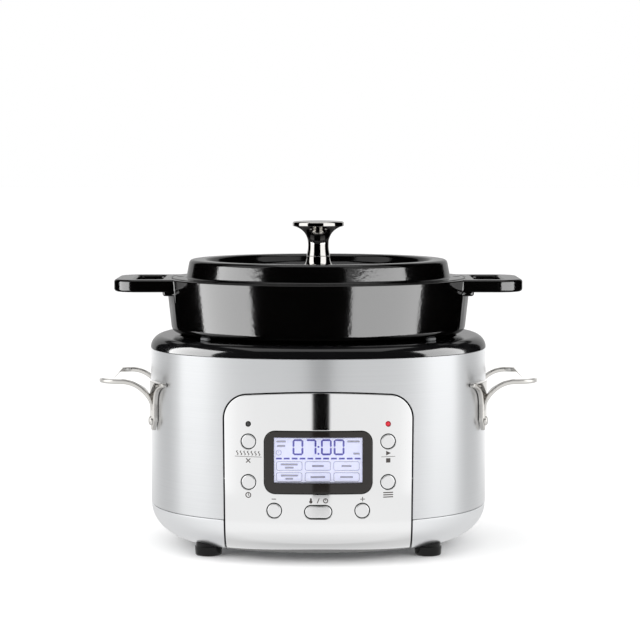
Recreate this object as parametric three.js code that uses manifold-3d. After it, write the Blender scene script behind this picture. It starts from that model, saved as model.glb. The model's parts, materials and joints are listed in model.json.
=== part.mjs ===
// Electric dutch oven: a powered base with a cast pot seated in its well, and a lid on the pot.
// Millimetres, +Z up. The origin is on the table under the middle of the base, and the control
// fascia faces -Y. The base is built outwards from the pot: the pot's shoulder sets the well, the
// well and the land of the rim set the casing, and the casing's outline carries the fascia,
// the handles and the feet.
import * as THREE from "three";
import { mergeVertices } from "three/addons/utils/BufferGeometryUtils.js";
import Module from "manifold-3d";

const wasm = await Module();
wasm.setup();

// Clearances
const FIT_GAP = 0.3;
const PANEL_SEAM = 0.6;
const CUT_OVERRUN = 3;
const WALL_SAG = 0.6;

// Pot
const POT_FOOT_ROUND = 28;
const POT_BELLY_INSET = 8.5;
const POT_BELLY_Z = 25;
const POT_SHOULDER_RADIUS = 121.5;
const POT_LEDGE_Z = 82;
const POT_LEDGE_RUN = 9.9;
const POT_BAND_ROUND = 5.5;
const POT_HEIGHT = 130;
const POT_BAND_FLARE = 5.1;
const POT_WALL = 4;
const POT_FLOOR = 4.5;
const POT_LIP_WIDTH = 5.2;
const POT_REBATE_DEPTH = 2.6;
const POT_REBATE_WIDTH = 4;
const POT_EDGE_ROUND = 1.2;
const POT_HANDLE_REACH = 44.5;
const POT_HANDLE_WIDTH = 98;
const POT_HANDLE_THICKNESS = 11;
const POT_HANDLE_CORNER = 22;
const POT_HANDLE_BAR = 12.5;
const POT_HANDLE_OUTER_BAR = 18;
const POT_HANDLE_WINDOW_INSET = 2.8;
const POT_HANDLE_WINDOW_CORNER = 5;
const POT_HANDLE_EDGE_ROUND = 1.6;
const POT_GUSSET_DROP = 3.5;
const POT_GUSSET_REACH = 9;

// Lid
const LID_SIDE_GAP = 0.7;
const LID_FLANGE_THICKNESS = 2.6;
const LID_LAND = 12.3;
const LID_DRUM_DRAFT = 2.6;
const LID_RING_HEIGHT = 16.3;
const LID_RING_ROUND = 2.4;
const LID_RING_WIDTH = 16.2;
const LID_RECESS_HEIGHT = 5.9;
const LID_WALL = 4;
const LID_SPIGOT_DROP = 6;
const LID_SPIGOT_GAP = 2.5;
const LID_SPIGOT_WIDTH = 3.5;
const LID_NOTCH_RADIUS = 3.4;
const LID_NOTCH_DEPTH = 1.2;

// Knob
const KNOB_HEIGHT = 45;
const KNOB_DISC_RADIUS = 23.1;
const KNOB_DISC_THICKNESS = 5.2;
const KNOB_DOME = 1.4;
const KNOB_WAIST_RADIUS = 9.4;
const KNOB_FOOT_RADIUS = 10.6;
const COLLAR_HEIGHT = 13;
const COLLAR_FOOT_RADIUS = 22.5;
const COLLAR_EDGE = 1.6;
const KNOB_SCREW_RADIUS = 2.5;
const KNOB_SCREW_REACH = 12;
const KNOB_SCREW_HEAD_RADIUS = 5.2;
const KNOB_SCREW_HEAD = 3.2;
const KNOB_WASHER_RADIUS = 8;
const KNOB_WASHER_THICKNESS = 1.2;

// Base casing
const FOOT_STAND = 6.6;
const SKIRT_HEIGHT = 31;
const SKIRT_ROUND_RUN = 38;
const SKIRT_WALL = 2.4;
const SKIRT_FLANGE = 10;
const SHELL_HEIGHT = 138.4;
const SHELL_WALL = 1.2;
const RIM_HEIGHT = 10.6;
const RIM_WALL = 2.2;
const RIM_LAND_FRONT = 9.4;
const RIM_LAND_SIDE = 15.4;
const RIM_COLLAR_DEPTH = 14;
const WELL_GAP = 2.5;
const CASING_POWER = 2.3;
const PAD_LENGTH = 11;
const PAD_WIDTH = 5;
const PAD_HEIGHT = 2.2;
const PAD_ANGLE_SHARE = 0.22;

// Control fascia
const FASCIA_WIDTH_SHARE = 0.533;
const FASCIA_FOOT_TAPER = 1;
const FASCIA_TOP_Z = 147.6;
const FASCIA_CROWN = 2.3;
const FASCIA_CORNER = 21;
const FASCIA_WALL = 2.4;
const FACE_PROUD = 0.5;

// Display
const BEZEL_WIDTH = 90.8;
const BEZEL_HEIGHT = 52.6;
const BEZEL_CORNER = 9.2;
const BEZEL_Z = 88.8;
const BEZEL_DEPTH = 10;
const WINDOW_WIDTH = 74.2;
const WINDOW_HEIGHT = 37.6;
const WINDOW_RISE = 2;
const WINDOW_CORNER = 1.5;
const WINDOW_THICKNESS = 1.6;
const WINDOW_RECESS = 0.9;
const LCD_THICKNESS = 3;

// Buttons and lamps
const BUTTON_RADIUS = 6;
const BUTTON_RING_GAP = 0.5;
const BUTTON_FLANGE = 1.4;
const BUTTON_FLANGE_THICKNESS = 1.2;
const BUTTON_STEM_RADIUS = 2.2;
const BUTTON_TRAVEL = 1;
const BUTTON_COLUMN_X = 59.1;
const BUTTON_UPPER_Z = 105.9;
const BUTTON_LOWER_Z = 71.4;
const STEP_BUTTON_X = 37.2;
const STEP_BUTTON_Z = 47.8;
const BAR_BUTTON_WIDTH = 22.5;
const BAR_BUTTON_HEIGHT = 10.5;
const BAR_BUTTON_Z = 47;
const LAMP_RADIUS = 2.2;
const LAMP_Z = 120.8;
const LAMP_FLANGE = 1.2;

// Control board
const BOARD_HALF_WIDTH = 66;
const BOARD_LOW_Z = 36;
const BOARD_HEIGHT = 93;
const BOARD_THICKNESS = 1.6;
const BOARD_SETBACK = 5.6;
const SWITCH_SIZE = 6;
const BOSS_RADIUS = 3;
const BOSS_X = 30;
const BOSS_LOW_Z = 40;
const BOSS_HIGH_Z = 124;

// Side handles
const HANDLE_STEM_Y = 58;
const HANDLE_STEM_WIDTH = 12;
const HANDLE_THICKNESS = 4.3;
const HANDLE_TIP_Z = 105.8;
const HANDLE_TIP_HEIGHT = 9.5;
const HANDLE_FORK_Z = 128;
const HANDLE_FORK_SHARE = 0.7;
const HANDLE_WING_RUN = 20;
const HANDLE_TOP_Z = 151.2;
const HANDLE_WING_TOP_DROP = 1.6;
const HANDLE_REACH = 43.5;
const HANDLE_GRIP_WIDTH = 13;
const HANDLE_CORNER = 22;
const HANDLE_ARM_ROOT_Z = 121;
const HANDLE_ARM_RUN = 26;
const HANDLE_BOLT_Z = 114.5;
const HANDLE_EDGE_ROUND = 0.8;
const BOLT_RADIUS = 2.2;
const BOLT_HEAD_RADIUS = 4.2;
const BOLT_HEAD_HEIGHT = 2.6;
const NUT_RADIUS = 4.6;
const NUT_HEIGHT = 3.4;

// Feet
const FOOT_RADIUS = 12;
const FOOT_FASCIA_ROOM = 15.5;
const FOOT_INSET_Y = 62;
const FOOT_EDGE_ROUND = 1.5;
const FOOT_HEIGHT = 16;
const FOOT_SCREW_RADIUS = 1.8;
const FOOT_SCREW_HEAD_RADIUS = 3.8;
const FOOT_SCREW_HEAD = 2.4;
const FOOT_RECESS_DEPTH = 4;
const FOOT_BOSS_RADIUS = 5;
const FOOT_BOSS_HEIGHT = 20;
const FOOT_SCREW_LENGTH = 12;

// Base plate and power board
const PLATE_THICKNESS = 1.2;
const VENT_LENGTH = 46;
const VENT_WIDTH = 4;
const VENT_PITCH = 11;
const VENT_COUNT = 6;
const POWER_BOARD_LENGTH = 96;
const POWER_BOARD_WIDTH = 62;
const POWER_POST_HEIGHT = 12;
const POWER_POST_RADIUS = 3.5;
const RELAY_LENGTH = 29;
const RELAY_WIDTH = 13;
const RELAY_HEIGHT = 16;
const SINK_LENGTH = 34;
const SINK_HEIGHT = 24;
const SINK_FIN = 2;
const SINK_FINS = 5;
const CAPACITOR_RADIUS = 6;
const CAPACITOR_HEIGHT = 20;

// Heater
const HEATER_MARGIN = 1;
const HEATER_THICKNESS = 9;
const HEATER_LIP = 4;
const HEATER_LIP_THICKNESS = 3;
const ELEMENT_INSET = 22;
const ELEMENT_RADIUS = 3.2;
const ELEMENT_LEG_DROP = 9;
const ELEMENT_GAP_SHARE = 0.11;
const SENSOR_RADIUS = 13;
const SENSOR_SIDE_GAP = 0.8;
const SENSOR_CAP_THICKNESS = 3;
const SENSOR_SKIRT_DEPTH = 7;
const SENSOR_WALL = 1;
const SENSOR_TRAVEL = 1.5;
const BRACKET_RADIUS = 20;
const BRACKET_WALL = 1.2;
const BRACKET_ROOM = 8.6;
const SPRING_RADIUS = 7;
const SPRING_WIRE_RADIUS = 0.7;
const SPRING_TURNS = 4;
const FUSE_RADIUS = 3;
const FUSE_LENGTH = 11;
const FUSE_LEAD_RADIUS = 0.8;
const FUSE_LEAD = 7;
const FUSE_PLACE_RADIUS = 40;

// Well liner and heat shield
const LINER_WALL = 1;
const LINER_BELLY_RISE = 24;
const LINER_FLANGE = 8;
const SHIELD_WALL = 0.8;
const SHIELD_AIR_GAP = 4;
const SHIELD_DEPTH = 20;
const SHIELD_HOLE_RADIUS = 34;

// Power inlet
const INLET_WIDTH = 34;
const INLET_HEIGHT = 26;
const INLET_CORNER = 5;
const INLET_FLANGE = 4;
const INLET_DEPTH = 20;
const INLET_POCKET_DEPTH = 16;
const INLET_WALL = 2.4;
const INLET_Z = 64;
const PIN_RADIUS = 2;
const PIN_PITCH = 12;
const PIN_LENGTH = 12;

// Facet counts
const CASING_SEGMENTS = 44;
const LARGE_SEGMENTS = 32;
const WELL_SEGMENTS = 24;
const SMALL_SEGMENTS = 16;
const BUTTON_SEGMENTS = 12;
const TINY_SEGMENTS = 8;
const HEX_SIDES = 6;
const KNOB_STEPS = 7;
const ROUND_STEPS = 3;
const TUBE_SIDES = 6;
const WIRE_SIDES = 5;
const EDGE_STEPS = 2;
const RIM_STEPS = 4;
const MERGE_SHARE = 0.0001;

// Places worked out from the sizes above
const POT_BELLY_RADIUS = POT_SHOULDER_RADIUS - POT_BELLY_INSET;
const POT_FOOT_RADIUS = POT_BELLY_RADIUS - POT_FOOT_ROUND;
const WELL_RADIUS = POT_SHOULDER_RADIUS + WELL_GAP;
const CASING_A = WELL_RADIUS + RIM_LAND_SIDE + RIM_HEIGHT;
const CASING_B = WELL_RADIUS + RIM_LAND_FRONT + RIM_HEIGHT;
const FASCIA_HALF_WIDTH = CASING_A * FASCIA_WIDTH_SHARE;
const FOOT_X = FASCIA_HALF_WIDTH + FOOT_FASCIA_ROOM;
const FOOT_Y = CASING_B - FOOT_INSET_Y;
const SEAM_Z = FOOT_STAND + SKIRT_HEIGHT;
const RIM_Z = SEAM_Z + SHELL_HEIGHT;
const RIM_TOP_Z = RIM_Z + RIM_HEIGHT;
const POT_Z = RIM_TOP_Z + PAD_HEIGHT + 2 * FIT_GAP - POT_LEDGE_Z;
const POT_BAND_RADIUS = POT_SHOULDER_RADIUS + POT_LEDGE_RUN;
const POT_RIM_RADIUS = POT_BAND_RADIUS + POT_BAND_FLARE;
const LIP_INNER_RADIUS = POT_RIM_RADIUS - POT_LIP_WIDTH;
const REBATE_Z = POT_Z + POT_HEIGHT - POT_REBATE_DEPTH;
const MOUTH_RADIUS = LIP_INNER_RADIUS - POT_REBATE_WIDTH;
const LID_Z = REBATE_Z + FIT_GAP;
const LID_DRUM_FOOT_RADIUS = LIP_INNER_RADIUS - LID_SIDE_GAP - LID_LAND;
const LID_DRUM_TOP_RADIUS = LID_DRUM_FOOT_RADIUS - LID_DRUM_DRAFT;
const LID_RING_INNER_RADIUS = LID_DRUM_TOP_RADIUS - LID_RING_WIDTH;
const RECESS_Z = POT_Z + POT_HEIGHT + LID_RECESS_HEIGHT;
const HEATER_TOP_Z = POT_Z - FIT_GAP;
const HEATER_RADIUS = POT_FOOT_RADIUS - HEATER_MARGIN;
const HEATER_LOW_Z = HEATER_TOP_Z - HEATER_THICKNESS;
const ELEMENT_RING_RADIUS = HEATER_RADIUS - ELEMENT_INSET;
const BRACKET_FLOOR_Z = HEATER_TOP_Z - SENSOR_SKIRT_DEPTH - SENSOR_TRAVEL - BRACKET_ROOM;
const BOARD_FRONT_Y = frontY(BOARD_HALF_WIDTH, FASCIA_WALL) + BOARD_SETBACK;
const STEM_END_Y = BOARD_FRONT_Y - SWITCH_SIZE / 2 - BUTTON_TRAVEL - FIT_GAP;
const PLATE_Z = FOOT_STAND + SKIRT_WALL + FIT_GAP;

const FINISH = {
  brushedSteel: { color: 0xc9ccce, roughness: 0.35, metalness: 1 },
  polishedSteel: { color: 0xdfe1e3, roughness: 0.12, metalness: 1 },
  satinSilver: { color: 0xd3d5d8, roughness: 0.4, metalness: 0.7 },
  blackEnamel: { color: 0x0b0b0c, roughness: 0.08, metalness: 0 },
  blackPlastic: { color: 0x111112, roughness: 0.35, metalness: 0 },
  blackRubber: { color: 0x161617, roughness: 0.55, metalness: 0 },
  greySilicone: { color: 0x8a8c8e, roughness: 0.7, metalness: 0 },
  castAluminium: { color: 0xaeb1b4, roughness: 0.5, metalness: 1 },
  zincSteel: { color: 0xb9bcbf, roughness: 0.4, metalness: 1 },
  buttonSilver: { color: 0xe3e4e6, roughness: 0.3, metalness: 0.3 },
  displayDark: { color: 0x37342f, roughness: 0.1, metalness: 0 },
  displayGlass: { color: 0xdfe4fa, roughness: 0.05, metalness: 0, transparent: true, opacity: 0.35 },
  displayLit: { color: 0xe1e4fa, roughness: 0.4, metalness: 0 },
  boardGreen: { color: 0x1f5b35, roughness: 0.5, metalness: 0 },
  lampRed: { color: 0xc8102a, roughness: 0.2, metalness: 0 },
  lampDark: { color: 0x2c2c2e, roughness: 0.2, metalness: 0 },
  brass: { color: 0xc9a659, roughness: 0.3, metalness: 1 },
};

// The casing's outline is a superellipse; its wall planes follow from these two.
function frontY(x, inset) {
  const share = Math.abs(x) / (CASING_A - inset);
  return -(CASING_B - inset) * (1 - share ** CASING_POWER) ** (1 / CASING_POWER);
}

function sideX(y, inset) {
  const share = Math.abs(y) / (CASING_B - inset);
  return (CASING_A - inset) * (1 - share ** CASING_POWER) ** (1 / CASING_POWER);
}

// One ring of points at height z: a circle, or the casing's outline drawn in by an inset.
function superRing(a, b, power, z, segments) {
  const ring = [];
  for (let i = 0; i < segments; i += 1) {
    const turn = (2 * Math.PI * i) / segments;
    const c = Math.cos(turn);
    const s = Math.sin(turn);
    const x = a * Math.sign(c) * Math.abs(c) ** (2 / power);
    const y = b * Math.sign(s) * Math.abs(s) ** (2 / power);
    ring.push(new THREE.Vector3(x, y, z));
  }
  return ring;
}

function casingRing(inset, z) {
  return superRing(CASING_A - inset, CASING_B - inset, CASING_POWER, z, CASING_SEGMENTS);
}

function circleRing(radius, z) {
  return superRing(radius, radius, 2, z, CASING_SEGMENTS);
}

// A skin through rings of equal count. A closed loft joins the last ring to the first, as a wall
// with thickness does; an open one is capped at both ends.
function loft(rings, closed) {
  const count = rings[0].length;
  const points = rings.flat();
  const faces = [];
  const spans = closed ? rings.length : rings.length - 1;
  for (let r = 0; r < spans; r += 1) {
    const low = r * count;
    const high = ((r + 1) % rings.length) * count;
    for (let i = 0; i < count; i += 1) {
      const next = (i + 1) % count;
      faces.push(low + i, low + next, high + next, low + i, high + next, high + i);
    }
  }
  if (!closed) {
    const last = (rings.length - 1) * count;
    for (let i = 1; i < count - 1; i += 1) {
      faces.push(0, i + 1, i, last, last + i, last + i + 1);
    }
  }
  const geometry = new THREE.BufferGeometry().setFromPoints(points);
  geometry.setIndex(faces);
  return geometry;
}

// Signed volume of a closed geometry, which tells whether its faces point outwards.
function volumeOf(geometry) {
  const p = geometry.attributes.position;
  const index = geometry.index;
  const a = new THREE.Vector3();
  const b = new THREE.Vector3();
  const c = new THREE.Vector3();
  let volume = 0;
  for (let i = 0; i < index.count; i += 3) {
    a.fromBufferAttribute(p, index.getX(i));
    b.fromBufferAttribute(p, index.getX(i + 1));
    c.fromBufferAttribute(p, index.getX(i + 2));
    volume += a.dot(b.cross(c)) / 6;
  }
  return volume;
}

// A solid for cutting and joining: shared vertices merged, slivers on the axis dropped, faces out.
function solidOf(geometry) {
  const bare = geometry.clone();
  bare.deleteAttribute("normal");
  bare.deleteAttribute("uv");
  const merged = mergeVertices(bare, FIT_GAP * MERGE_SHARE);
  const kept = [];
  for (let i = 0; i < merged.index.count; i += 3) {
    const [a, b, c] = [0, 1, 2].map((k) => merged.index.getX(i + k));
    if (a !== b && b !== c && c !== a) {
      kept.push(a, b, c);
    }
  }
  merged.setIndex(kept);
  const order = volumeOf(merged) < 0 ? kept.reverse() : kept;
  return new wasm.Manifold(
    new wasm.Mesh({
      numProp: 3,
      vertProperties: new Float32Array(merged.attributes.position.array),
      triVerts: new Uint32Array(order),
    }),
  );
}

function geometryOf(solid) {
  const mesh = solid.getMesh();
  const geometry = new THREE.BufferGeometry();
  geometry.setAttribute("position", new THREE.BufferAttribute(mesh.vertProperties, 3));
  geometry.setIndex(new THREE.BufferAttribute(mesh.triVerts, 1));
  geometry.computeVertexNormals();
  return geometry;
}

const join = (...solids) => solids.reduce((whole, solid) => whole.add(solid));
const cut = (solid, ...tools) => tools.reduce((rest, tool) => rest.subtract(tool), solid);

// A revolved solid about the Z axis from [radius, z] points, closed on itself or on the axis.
function revolve(profile, segments) {
  const points = profile.map(([radius, z]) => new THREE.Vector2(radius, z));
  if (points[0].x > 0 || points[points.length - 1].x > 0) {
    points.push(points[0].clone());
  }
  return solidOf(new THREE.LatheGeometry(points, segments).rotateX(Math.PI / 2));
}

// Points of a quarter round from one [radius, z] corner to another, bulging towards the corner.
function quarter([r0, z0], [r1, z1], corner, steps = ROUND_STEPS) {
  const curve = new THREE.QuadraticBezierCurve(
    new THREE.Vector2(r0, z0),
    new THREE.Vector2(...corner),
    new THREE.Vector2(r1, z1),
  );
  return curve.getPoints(steps).map((point) => [point.x, point.y]);
}

function cylinderZ(radius, low, high, segments, x = 0, y = 0) {
  const geometry = new THREE.CylinderGeometry(radius, radius, high - low, segments);
  geometry.rotateX(Math.PI / 2).translate(x, y, (low + high) / 2);
  return solidOf(geometry);
}

function cylinderY(radius, front, back, segments, x, z) {
  const geometry = new THREE.CylinderGeometry(radius, radius, back - front, segments);
  geometry.translate(x, (front + back) / 2, z);
  return solidOf(geometry);
}

function box([x0, y0, z0], [x1, y1, z1]) {
  const geometry = new THREE.BoxGeometry(x1 - x0, y1 - y0, z1 - z0);
  geometry.translate((x0 + x1) / 2, (y0 + y1) / 2, (z0 + z1) / 2);
  return solidOf(geometry);
}

function roundedRect(width, height, corner) {
  const shape = new THREE.Shape();
  const w = width / 2;
  const h = height / 2;
  shape.moveTo(-w + corner, -h);
  shape.lineTo(w - corner, -h);
  shape.absarc(w - corner, -h + corner, corner, -Math.PI / 2, 0);
  shape.lineTo(w, h - corner);
  shape.absarc(w - corner, h - corner, corner, 0, Math.PI / 2);
  shape.lineTo(-w + corner, h);
  shape.absarc(-w + corner, h - corner, corner, Math.PI / 2, Math.PI);
  shape.lineTo(-w, -h + corner);
  shape.absarc(-w + corner, -h + corner, corner, Math.PI, 1.5 * Math.PI);
  return shape;
}

// An outline drawn in X and Z, as seen from the front, pushed back along +Y.
function frontPrism(shape, front, back, x = 0, z = 0, curveSegments = ROUND_STEPS) {
  const depth = back - front;
  const geometry = new THREE.ExtrudeGeometry(shape, { depth, bevelEnabled: false, curveSegments });
  geometry.rotateX(Math.PI / 2).translate(x, back, z);
  return solidOf(geometry);
}

// An outline drawn in Y and Z, as seen from the side, pushed along +X.
function sidePrism(shape, low, high, curveSegments = ROUND_STEPS) {
  const depth = high - low;
  const geometry = new THREE.ExtrudeGeometry(shape, { depth, bevelEnabled: false, curveSegments });
  geometry.rotateX(Math.PI / 2).rotateZ(Math.PI / 2).translate(low, 0, 0);
  return solidOf(geometry);
}

// Inset of the casing's outer face below the seam, for an angle down its round.
function skirtProfile(offset) {
  const points = [];
  for (let i = 0; i <= RIM_STEPS; i += 1) {
    const angle = (Math.PI / 2) * (i / RIM_STEPS);
    const run = SKIRT_ROUND_RUN - offset;
    const drop = SKIRT_HEIGHT - offset;
    points.push([SKIRT_ROUND_RUN - run * Math.cos(angle), SEAM_Z - drop * Math.sin(angle)]);
  }
  return points;
}

// The whole casing as one filled body, drawn in by an offset: the tool that shapes what is flush
// with the casing, or what meets it.
function casingBody(offset, top = RIM_Z) {
  const rings = skirtProfile(offset).reverse().map(([inset, z]) => casingRing(inset, z));
  rings.push(casingRing(offset, top));
  return solidOf(loft(rings, false));
}

// The opening that the skirt's bottom flange leaves, as a tool.
function bottomOpening() {
  const inset = SKIRT_ROUND_RUN + SKIRT_FLANGE;
  return solidOf(loft([casingRing(inset, 0), casingRing(inset, SEAM_Z)], false));
}

function fasciaOutline(grow) {
  const foot = FASCIA_HALF_WIDTH - FASCIA_FOOT_TAPER + grow;
  const half = FASCIA_HALF_WIDTH + grow;
  const corner = FASCIA_CORNER + grow;
  const cornerTop = FASCIA_TOP_Z - FASCIA_CROWN + grow;
  const shape = new THREE.Shape();
  shape.moveTo(-foot, -CUT_OVERRUN);
  shape.lineTo(foot, -CUT_OVERRUN);
  shape.lineTo(half, cornerTop - corner);
  shape.absarc(half - corner, cornerTop - corner, corner, 0, Math.PI / 2);
  shape.quadraticCurveTo(0, cornerTop + 2 * FASCIA_CROWN, corner - half, cornerTop);
  shape.absarc(corner - half, cornerTop - corner, corner, Math.PI / 2, Math.PI);
  return shape;
}

function fasciaPrism(grow) {
  return frontPrism(fasciaOutline(grow), -CASING_B - CUT_OVERRUN, 0, 0, 0, 2 * ROUND_STEPS);
}

// Each button's name and its place on the fascia; the bar button is oblong, the rest are round.
const BUTTONS = [
  ["button_keep_warm", -BUTTON_COLUMN_X, BUTTON_UPPER_Z],
  ["button_preset", -BUTTON_COLUMN_X, BUTTON_LOWER_Z],
  ["button_start", BUTTON_COLUMN_X, BUTTON_UPPER_Z],
  ["button_menu", BUTTON_COLUMN_X, BUTTON_LOWER_Z],
  ["button_minus", -STEP_BUTTON_X, STEP_BUTTON_Z],
  ["button_plus", STEP_BUTTON_X, STEP_BUTTON_Z],
  ["button_mode", 0, BAR_BUTTON_Z],
];

const isBar = (name) => name === "button_mode";

// The outline of a button's cap, grown by a margin: its hole, its cap or its flange.
function buttonPrism(name, x, z, grow, front, back) {
  if (isBar(name)) {
    const height = BAR_BUTTON_HEIGHT + 2 * grow;
    const shape = roundedRect(BAR_BUTTON_WIDTH + 2 * grow, height, height / 2);
    return frontPrism(shape, front, back, x, z);
  }
  return cylinderY(BUTTON_RADIUS + grow, front, back, BUTTON_SEGMENTS, x, z);
}

function placeAtFeet(build) {
  return [-1, 1].flatMap((sx) => [-1, 1].map((sy) => build(sx * FOOT_X, sy * FOOT_Y)));
}

function outerShell() {
  const wall = solidOf(
    loft(
      [
        casingRing(0, SEAM_Z + FIT_GAP),
        casingRing(0, RIM_Z),
        casingRing(SHELL_WALL, RIM_Z),
        casingRing(SHELL_WALL, SEAM_Z + FIT_GAP),
      ],
      true,
    ),
  );
  const inlet = roundedRect(INLET_WIDTH + 2 * FIT_GAP, INLET_HEIGHT + 2 * FIT_GAP, INLET_CORNER);
  const inletHole = frontPrism(inlet, 0, CASING_B + CUT_OVERRUN, 0, INLET_Z);
  return cut(wall, fasciaPrism(PANEL_SEAM), inletHole, ...boltPlaces().map(([, place]) => boltHole(place)));
}

function lowerSkirt() {
  const outer = skirtProfile(0);
  const inner = skirtProfile(SKIRT_WALL).reverse();
  const flange = SKIRT_ROUND_RUN + SKIRT_FLANGE;
  const lip = [
    [flange, FOOT_STAND],
    [flange, FOOT_STAND + SKIRT_WALL],
  ];
  const rings = [...outer, ...lip, ...inner].map(([inset, z]) => casingRing(inset, z));
  const shell = solidOf(loft(rings, true));
  const within = casingBody(SKIRT_WALL / 2, SEAM_Z);
  const bosses = placeAtFeet((x, y) =>
    cylinderZ(FOOT_BOSS_RADIUS, FOOT_STAND, FOOT_BOSS_HEIGHT, TINY_SEGMENTS, x, y).intersect(within),
  );
  const bores = placeAtFeet((x, y) =>
    cylinderZ(FOOT_SCREW_RADIUS + FIT_GAP, 0, FOOT_BOSS_HEIGHT - FIT_GAP, TINY_SEGMENTS, x, y),
  );
  return cut(join(shell, ...bosses), fasciaPrism(PANEL_SEAM), ...bores);
}

function controlFascia() {
  const face = fasciaPrism(0);
  const skin = casingBody(0).subtract(casingBody(FASCIA_WALL, RIM_Z + CUT_OVERRUN));
  const panel = cut(skin.intersect(face), bottomOpening());
  const front = -CASING_B - CUT_OVERRUN;
  const inside = casingBody(FASCIA_WALL / 2);
  const bosses = [-BOSS_X, BOSS_X].flatMap((x) =>
    [BOSS_LOW_Z - BOSS_RADIUS, BOSS_HIGH_Z].map((z) =>
      cylinderY(BOSS_RADIUS, front, BOARD_FRONT_Y - FIT_GAP, TINY_SEGMENTS, x, z).intersect(inside),
    ),
  );
  const holes = BUTTONS.map(([name, x, z]) => buttonPrism(name, x, z, BUTTON_RING_GAP, front, 0));
  const lamps = [-1, 1].map((side) =>
    cylinderY(LAMP_RADIUS + FIT_GAP, front, 0, TINY_SEGMENTS, side * BUTTON_COLUMN_X, LAMP_Z),
  );
  const bezelHole = frontPrism(
    roundedRect(BEZEL_WIDTH + 2 * FIT_GAP, BEZEL_HEIGHT + 2 * FIT_GAP, BEZEL_CORNER + FIT_GAP),
    front,
    0,
    0,
    BEZEL_Z,
  );
  const trimmed = cut(panel, bezelHole, ...holes, ...lamps);
  return join(trimmed, ...bosses);
}

function topRim() {
  const outer = [];
  for (let i = 0; i <= RIM_STEPS; i += 1) {
    const angle = (Math.PI / 2) * (i / RIM_STEPS);
    const z = RIM_Z + FIT_GAP + (RIM_HEIGHT - FIT_GAP) * Math.sin(angle);
    outer.push(casingRing(RIM_HEIGHT * (1 - Math.cos(angle)), z));
  }
  const collarLow = RIM_TOP_Z - RIM_COLLAR_DEPTH;
  const rings = [
    ...outer,
    circleRing(WELL_RADIUS, RIM_TOP_Z),
    circleRing(WELL_RADIUS, collarLow),
    circleRing(WELL_RADIUS + RIM_WALL, collarLow),
    circleRing(WELL_RADIUS + RIM_WALL, RIM_TOP_Z - RIM_WALL),
    casingRing(RIM_HEIGHT, RIM_TOP_Z - RIM_WALL),
    casingRing(RIM_WALL, RIM_Z + RIM_WALL),
    casingRing(RIM_WALL, RIM_Z + FIT_GAP),
  ];
  return solidOf(loft(rings, true));
}

// A soft pad on the rim's land, under the ledge of the pot's band.
function potPad(sx, sy) {
  const angle = PAD_ANGLE_SHARE * Math.PI;
  const radius = POT_SHOULDER_RADIUS + POT_LEDGE_RUN / 2;
  const x = sx * radius * Math.cos(angle);
  const y = sy * radius * Math.sin(angle);
  const shape = roundedRect(PAD_LENGTH, PAD_WIDTH, PAD_WIDTH / 2);
  const geometry = new THREE.ExtrudeGeometry(shape, {
    depth: PAD_HEIGHT,
    bevelEnabled: false,
    curveSegments: EDGE_STEPS,
  });
  geometry.rotateZ(Math.atan2(y, x) + Math.PI / 2).translate(x, y, RIM_TOP_Z + FIT_GAP);
  return solidOf(geometry);
}

// The dished well that the pot hangs in, a constant gap outside the pot.
function wellProfile(gap) {
  const lift = POT_Z + POT_BELLY_Z;
  const flangeZ = RIM_TOP_Z - RIM_COLLAR_DEPTH - FIT_GAP - LINER_WALL;
  const belly = POT_BELLY_RADIUS + WELL_GAP + gap;
  const low = HEATER_TOP_Z - HEATER_LIP_THICKNESS - FIT_GAP - gap;
  const foot = [HEATER_RADIUS + HEATER_LIP, low];
  return [...quarter(foot, [belly, lift], [belly - LINER_WALL, low]), [WELL_RADIUS + gap, flangeZ]];
}

function innerLiner() {
  const flangeZ = RIM_TOP_Z - RIM_COLLAR_DEPTH - FIT_GAP;
  const inside = wellProfile(0);
  const outside = wellProfile(LINER_WALL).reverse();
  const low = inside[0][1];
  const profile = [
    [HEATER_RADIUS - HEATER_LIP, low],
    ...inside,
    [WELL_RADIUS, flangeZ],
    [WELL_RADIUS + LINER_FLANGE, flangeZ],
    [WELL_RADIUS + LINER_FLANGE, flangeZ - LINER_WALL],
    ...outside,
    [HEATER_RADIUS - HEATER_LIP, low - LINER_WALL],
  ];
  return revolve(profile, WELL_SEGMENTS);
}

function heatShield() {
  const top = RIM_TOP_Z - RIM_COLLAR_DEPTH - LINER_WALL - 2 * FIT_GAP;
  const bend = POT_Z + LINER_BELLY_RISE;
  const low = HEATER_LOW_Z - SHIELD_DEPTH;
  const belly = POT_BELLY_RADIUS + WELL_GAP + SHIELD_AIR_GAP;
  const mouth = WELL_RADIUS + SHIELD_AIR_GAP;
  const profile = [
    [SHIELD_HOLE_RADIUS, low],
    [belly, low],
    [belly, bend],
    [mouth, top - SHIELD_WALL],
    [WELL_RADIUS + LINER_FLANGE, top - SHIELD_WALL],
    [WELL_RADIUS + LINER_FLANGE, top],
    [mouth - SHIELD_WALL, top],
    [belly - SHIELD_WALL, bend],
    [belly - SHIELD_WALL, low + SHIELD_WALL],
    [SHIELD_HOLE_RADIUS, low + SHIELD_WALL],
  ];
  return revolve(profile, WELL_SEGMENTS);
}

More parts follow.
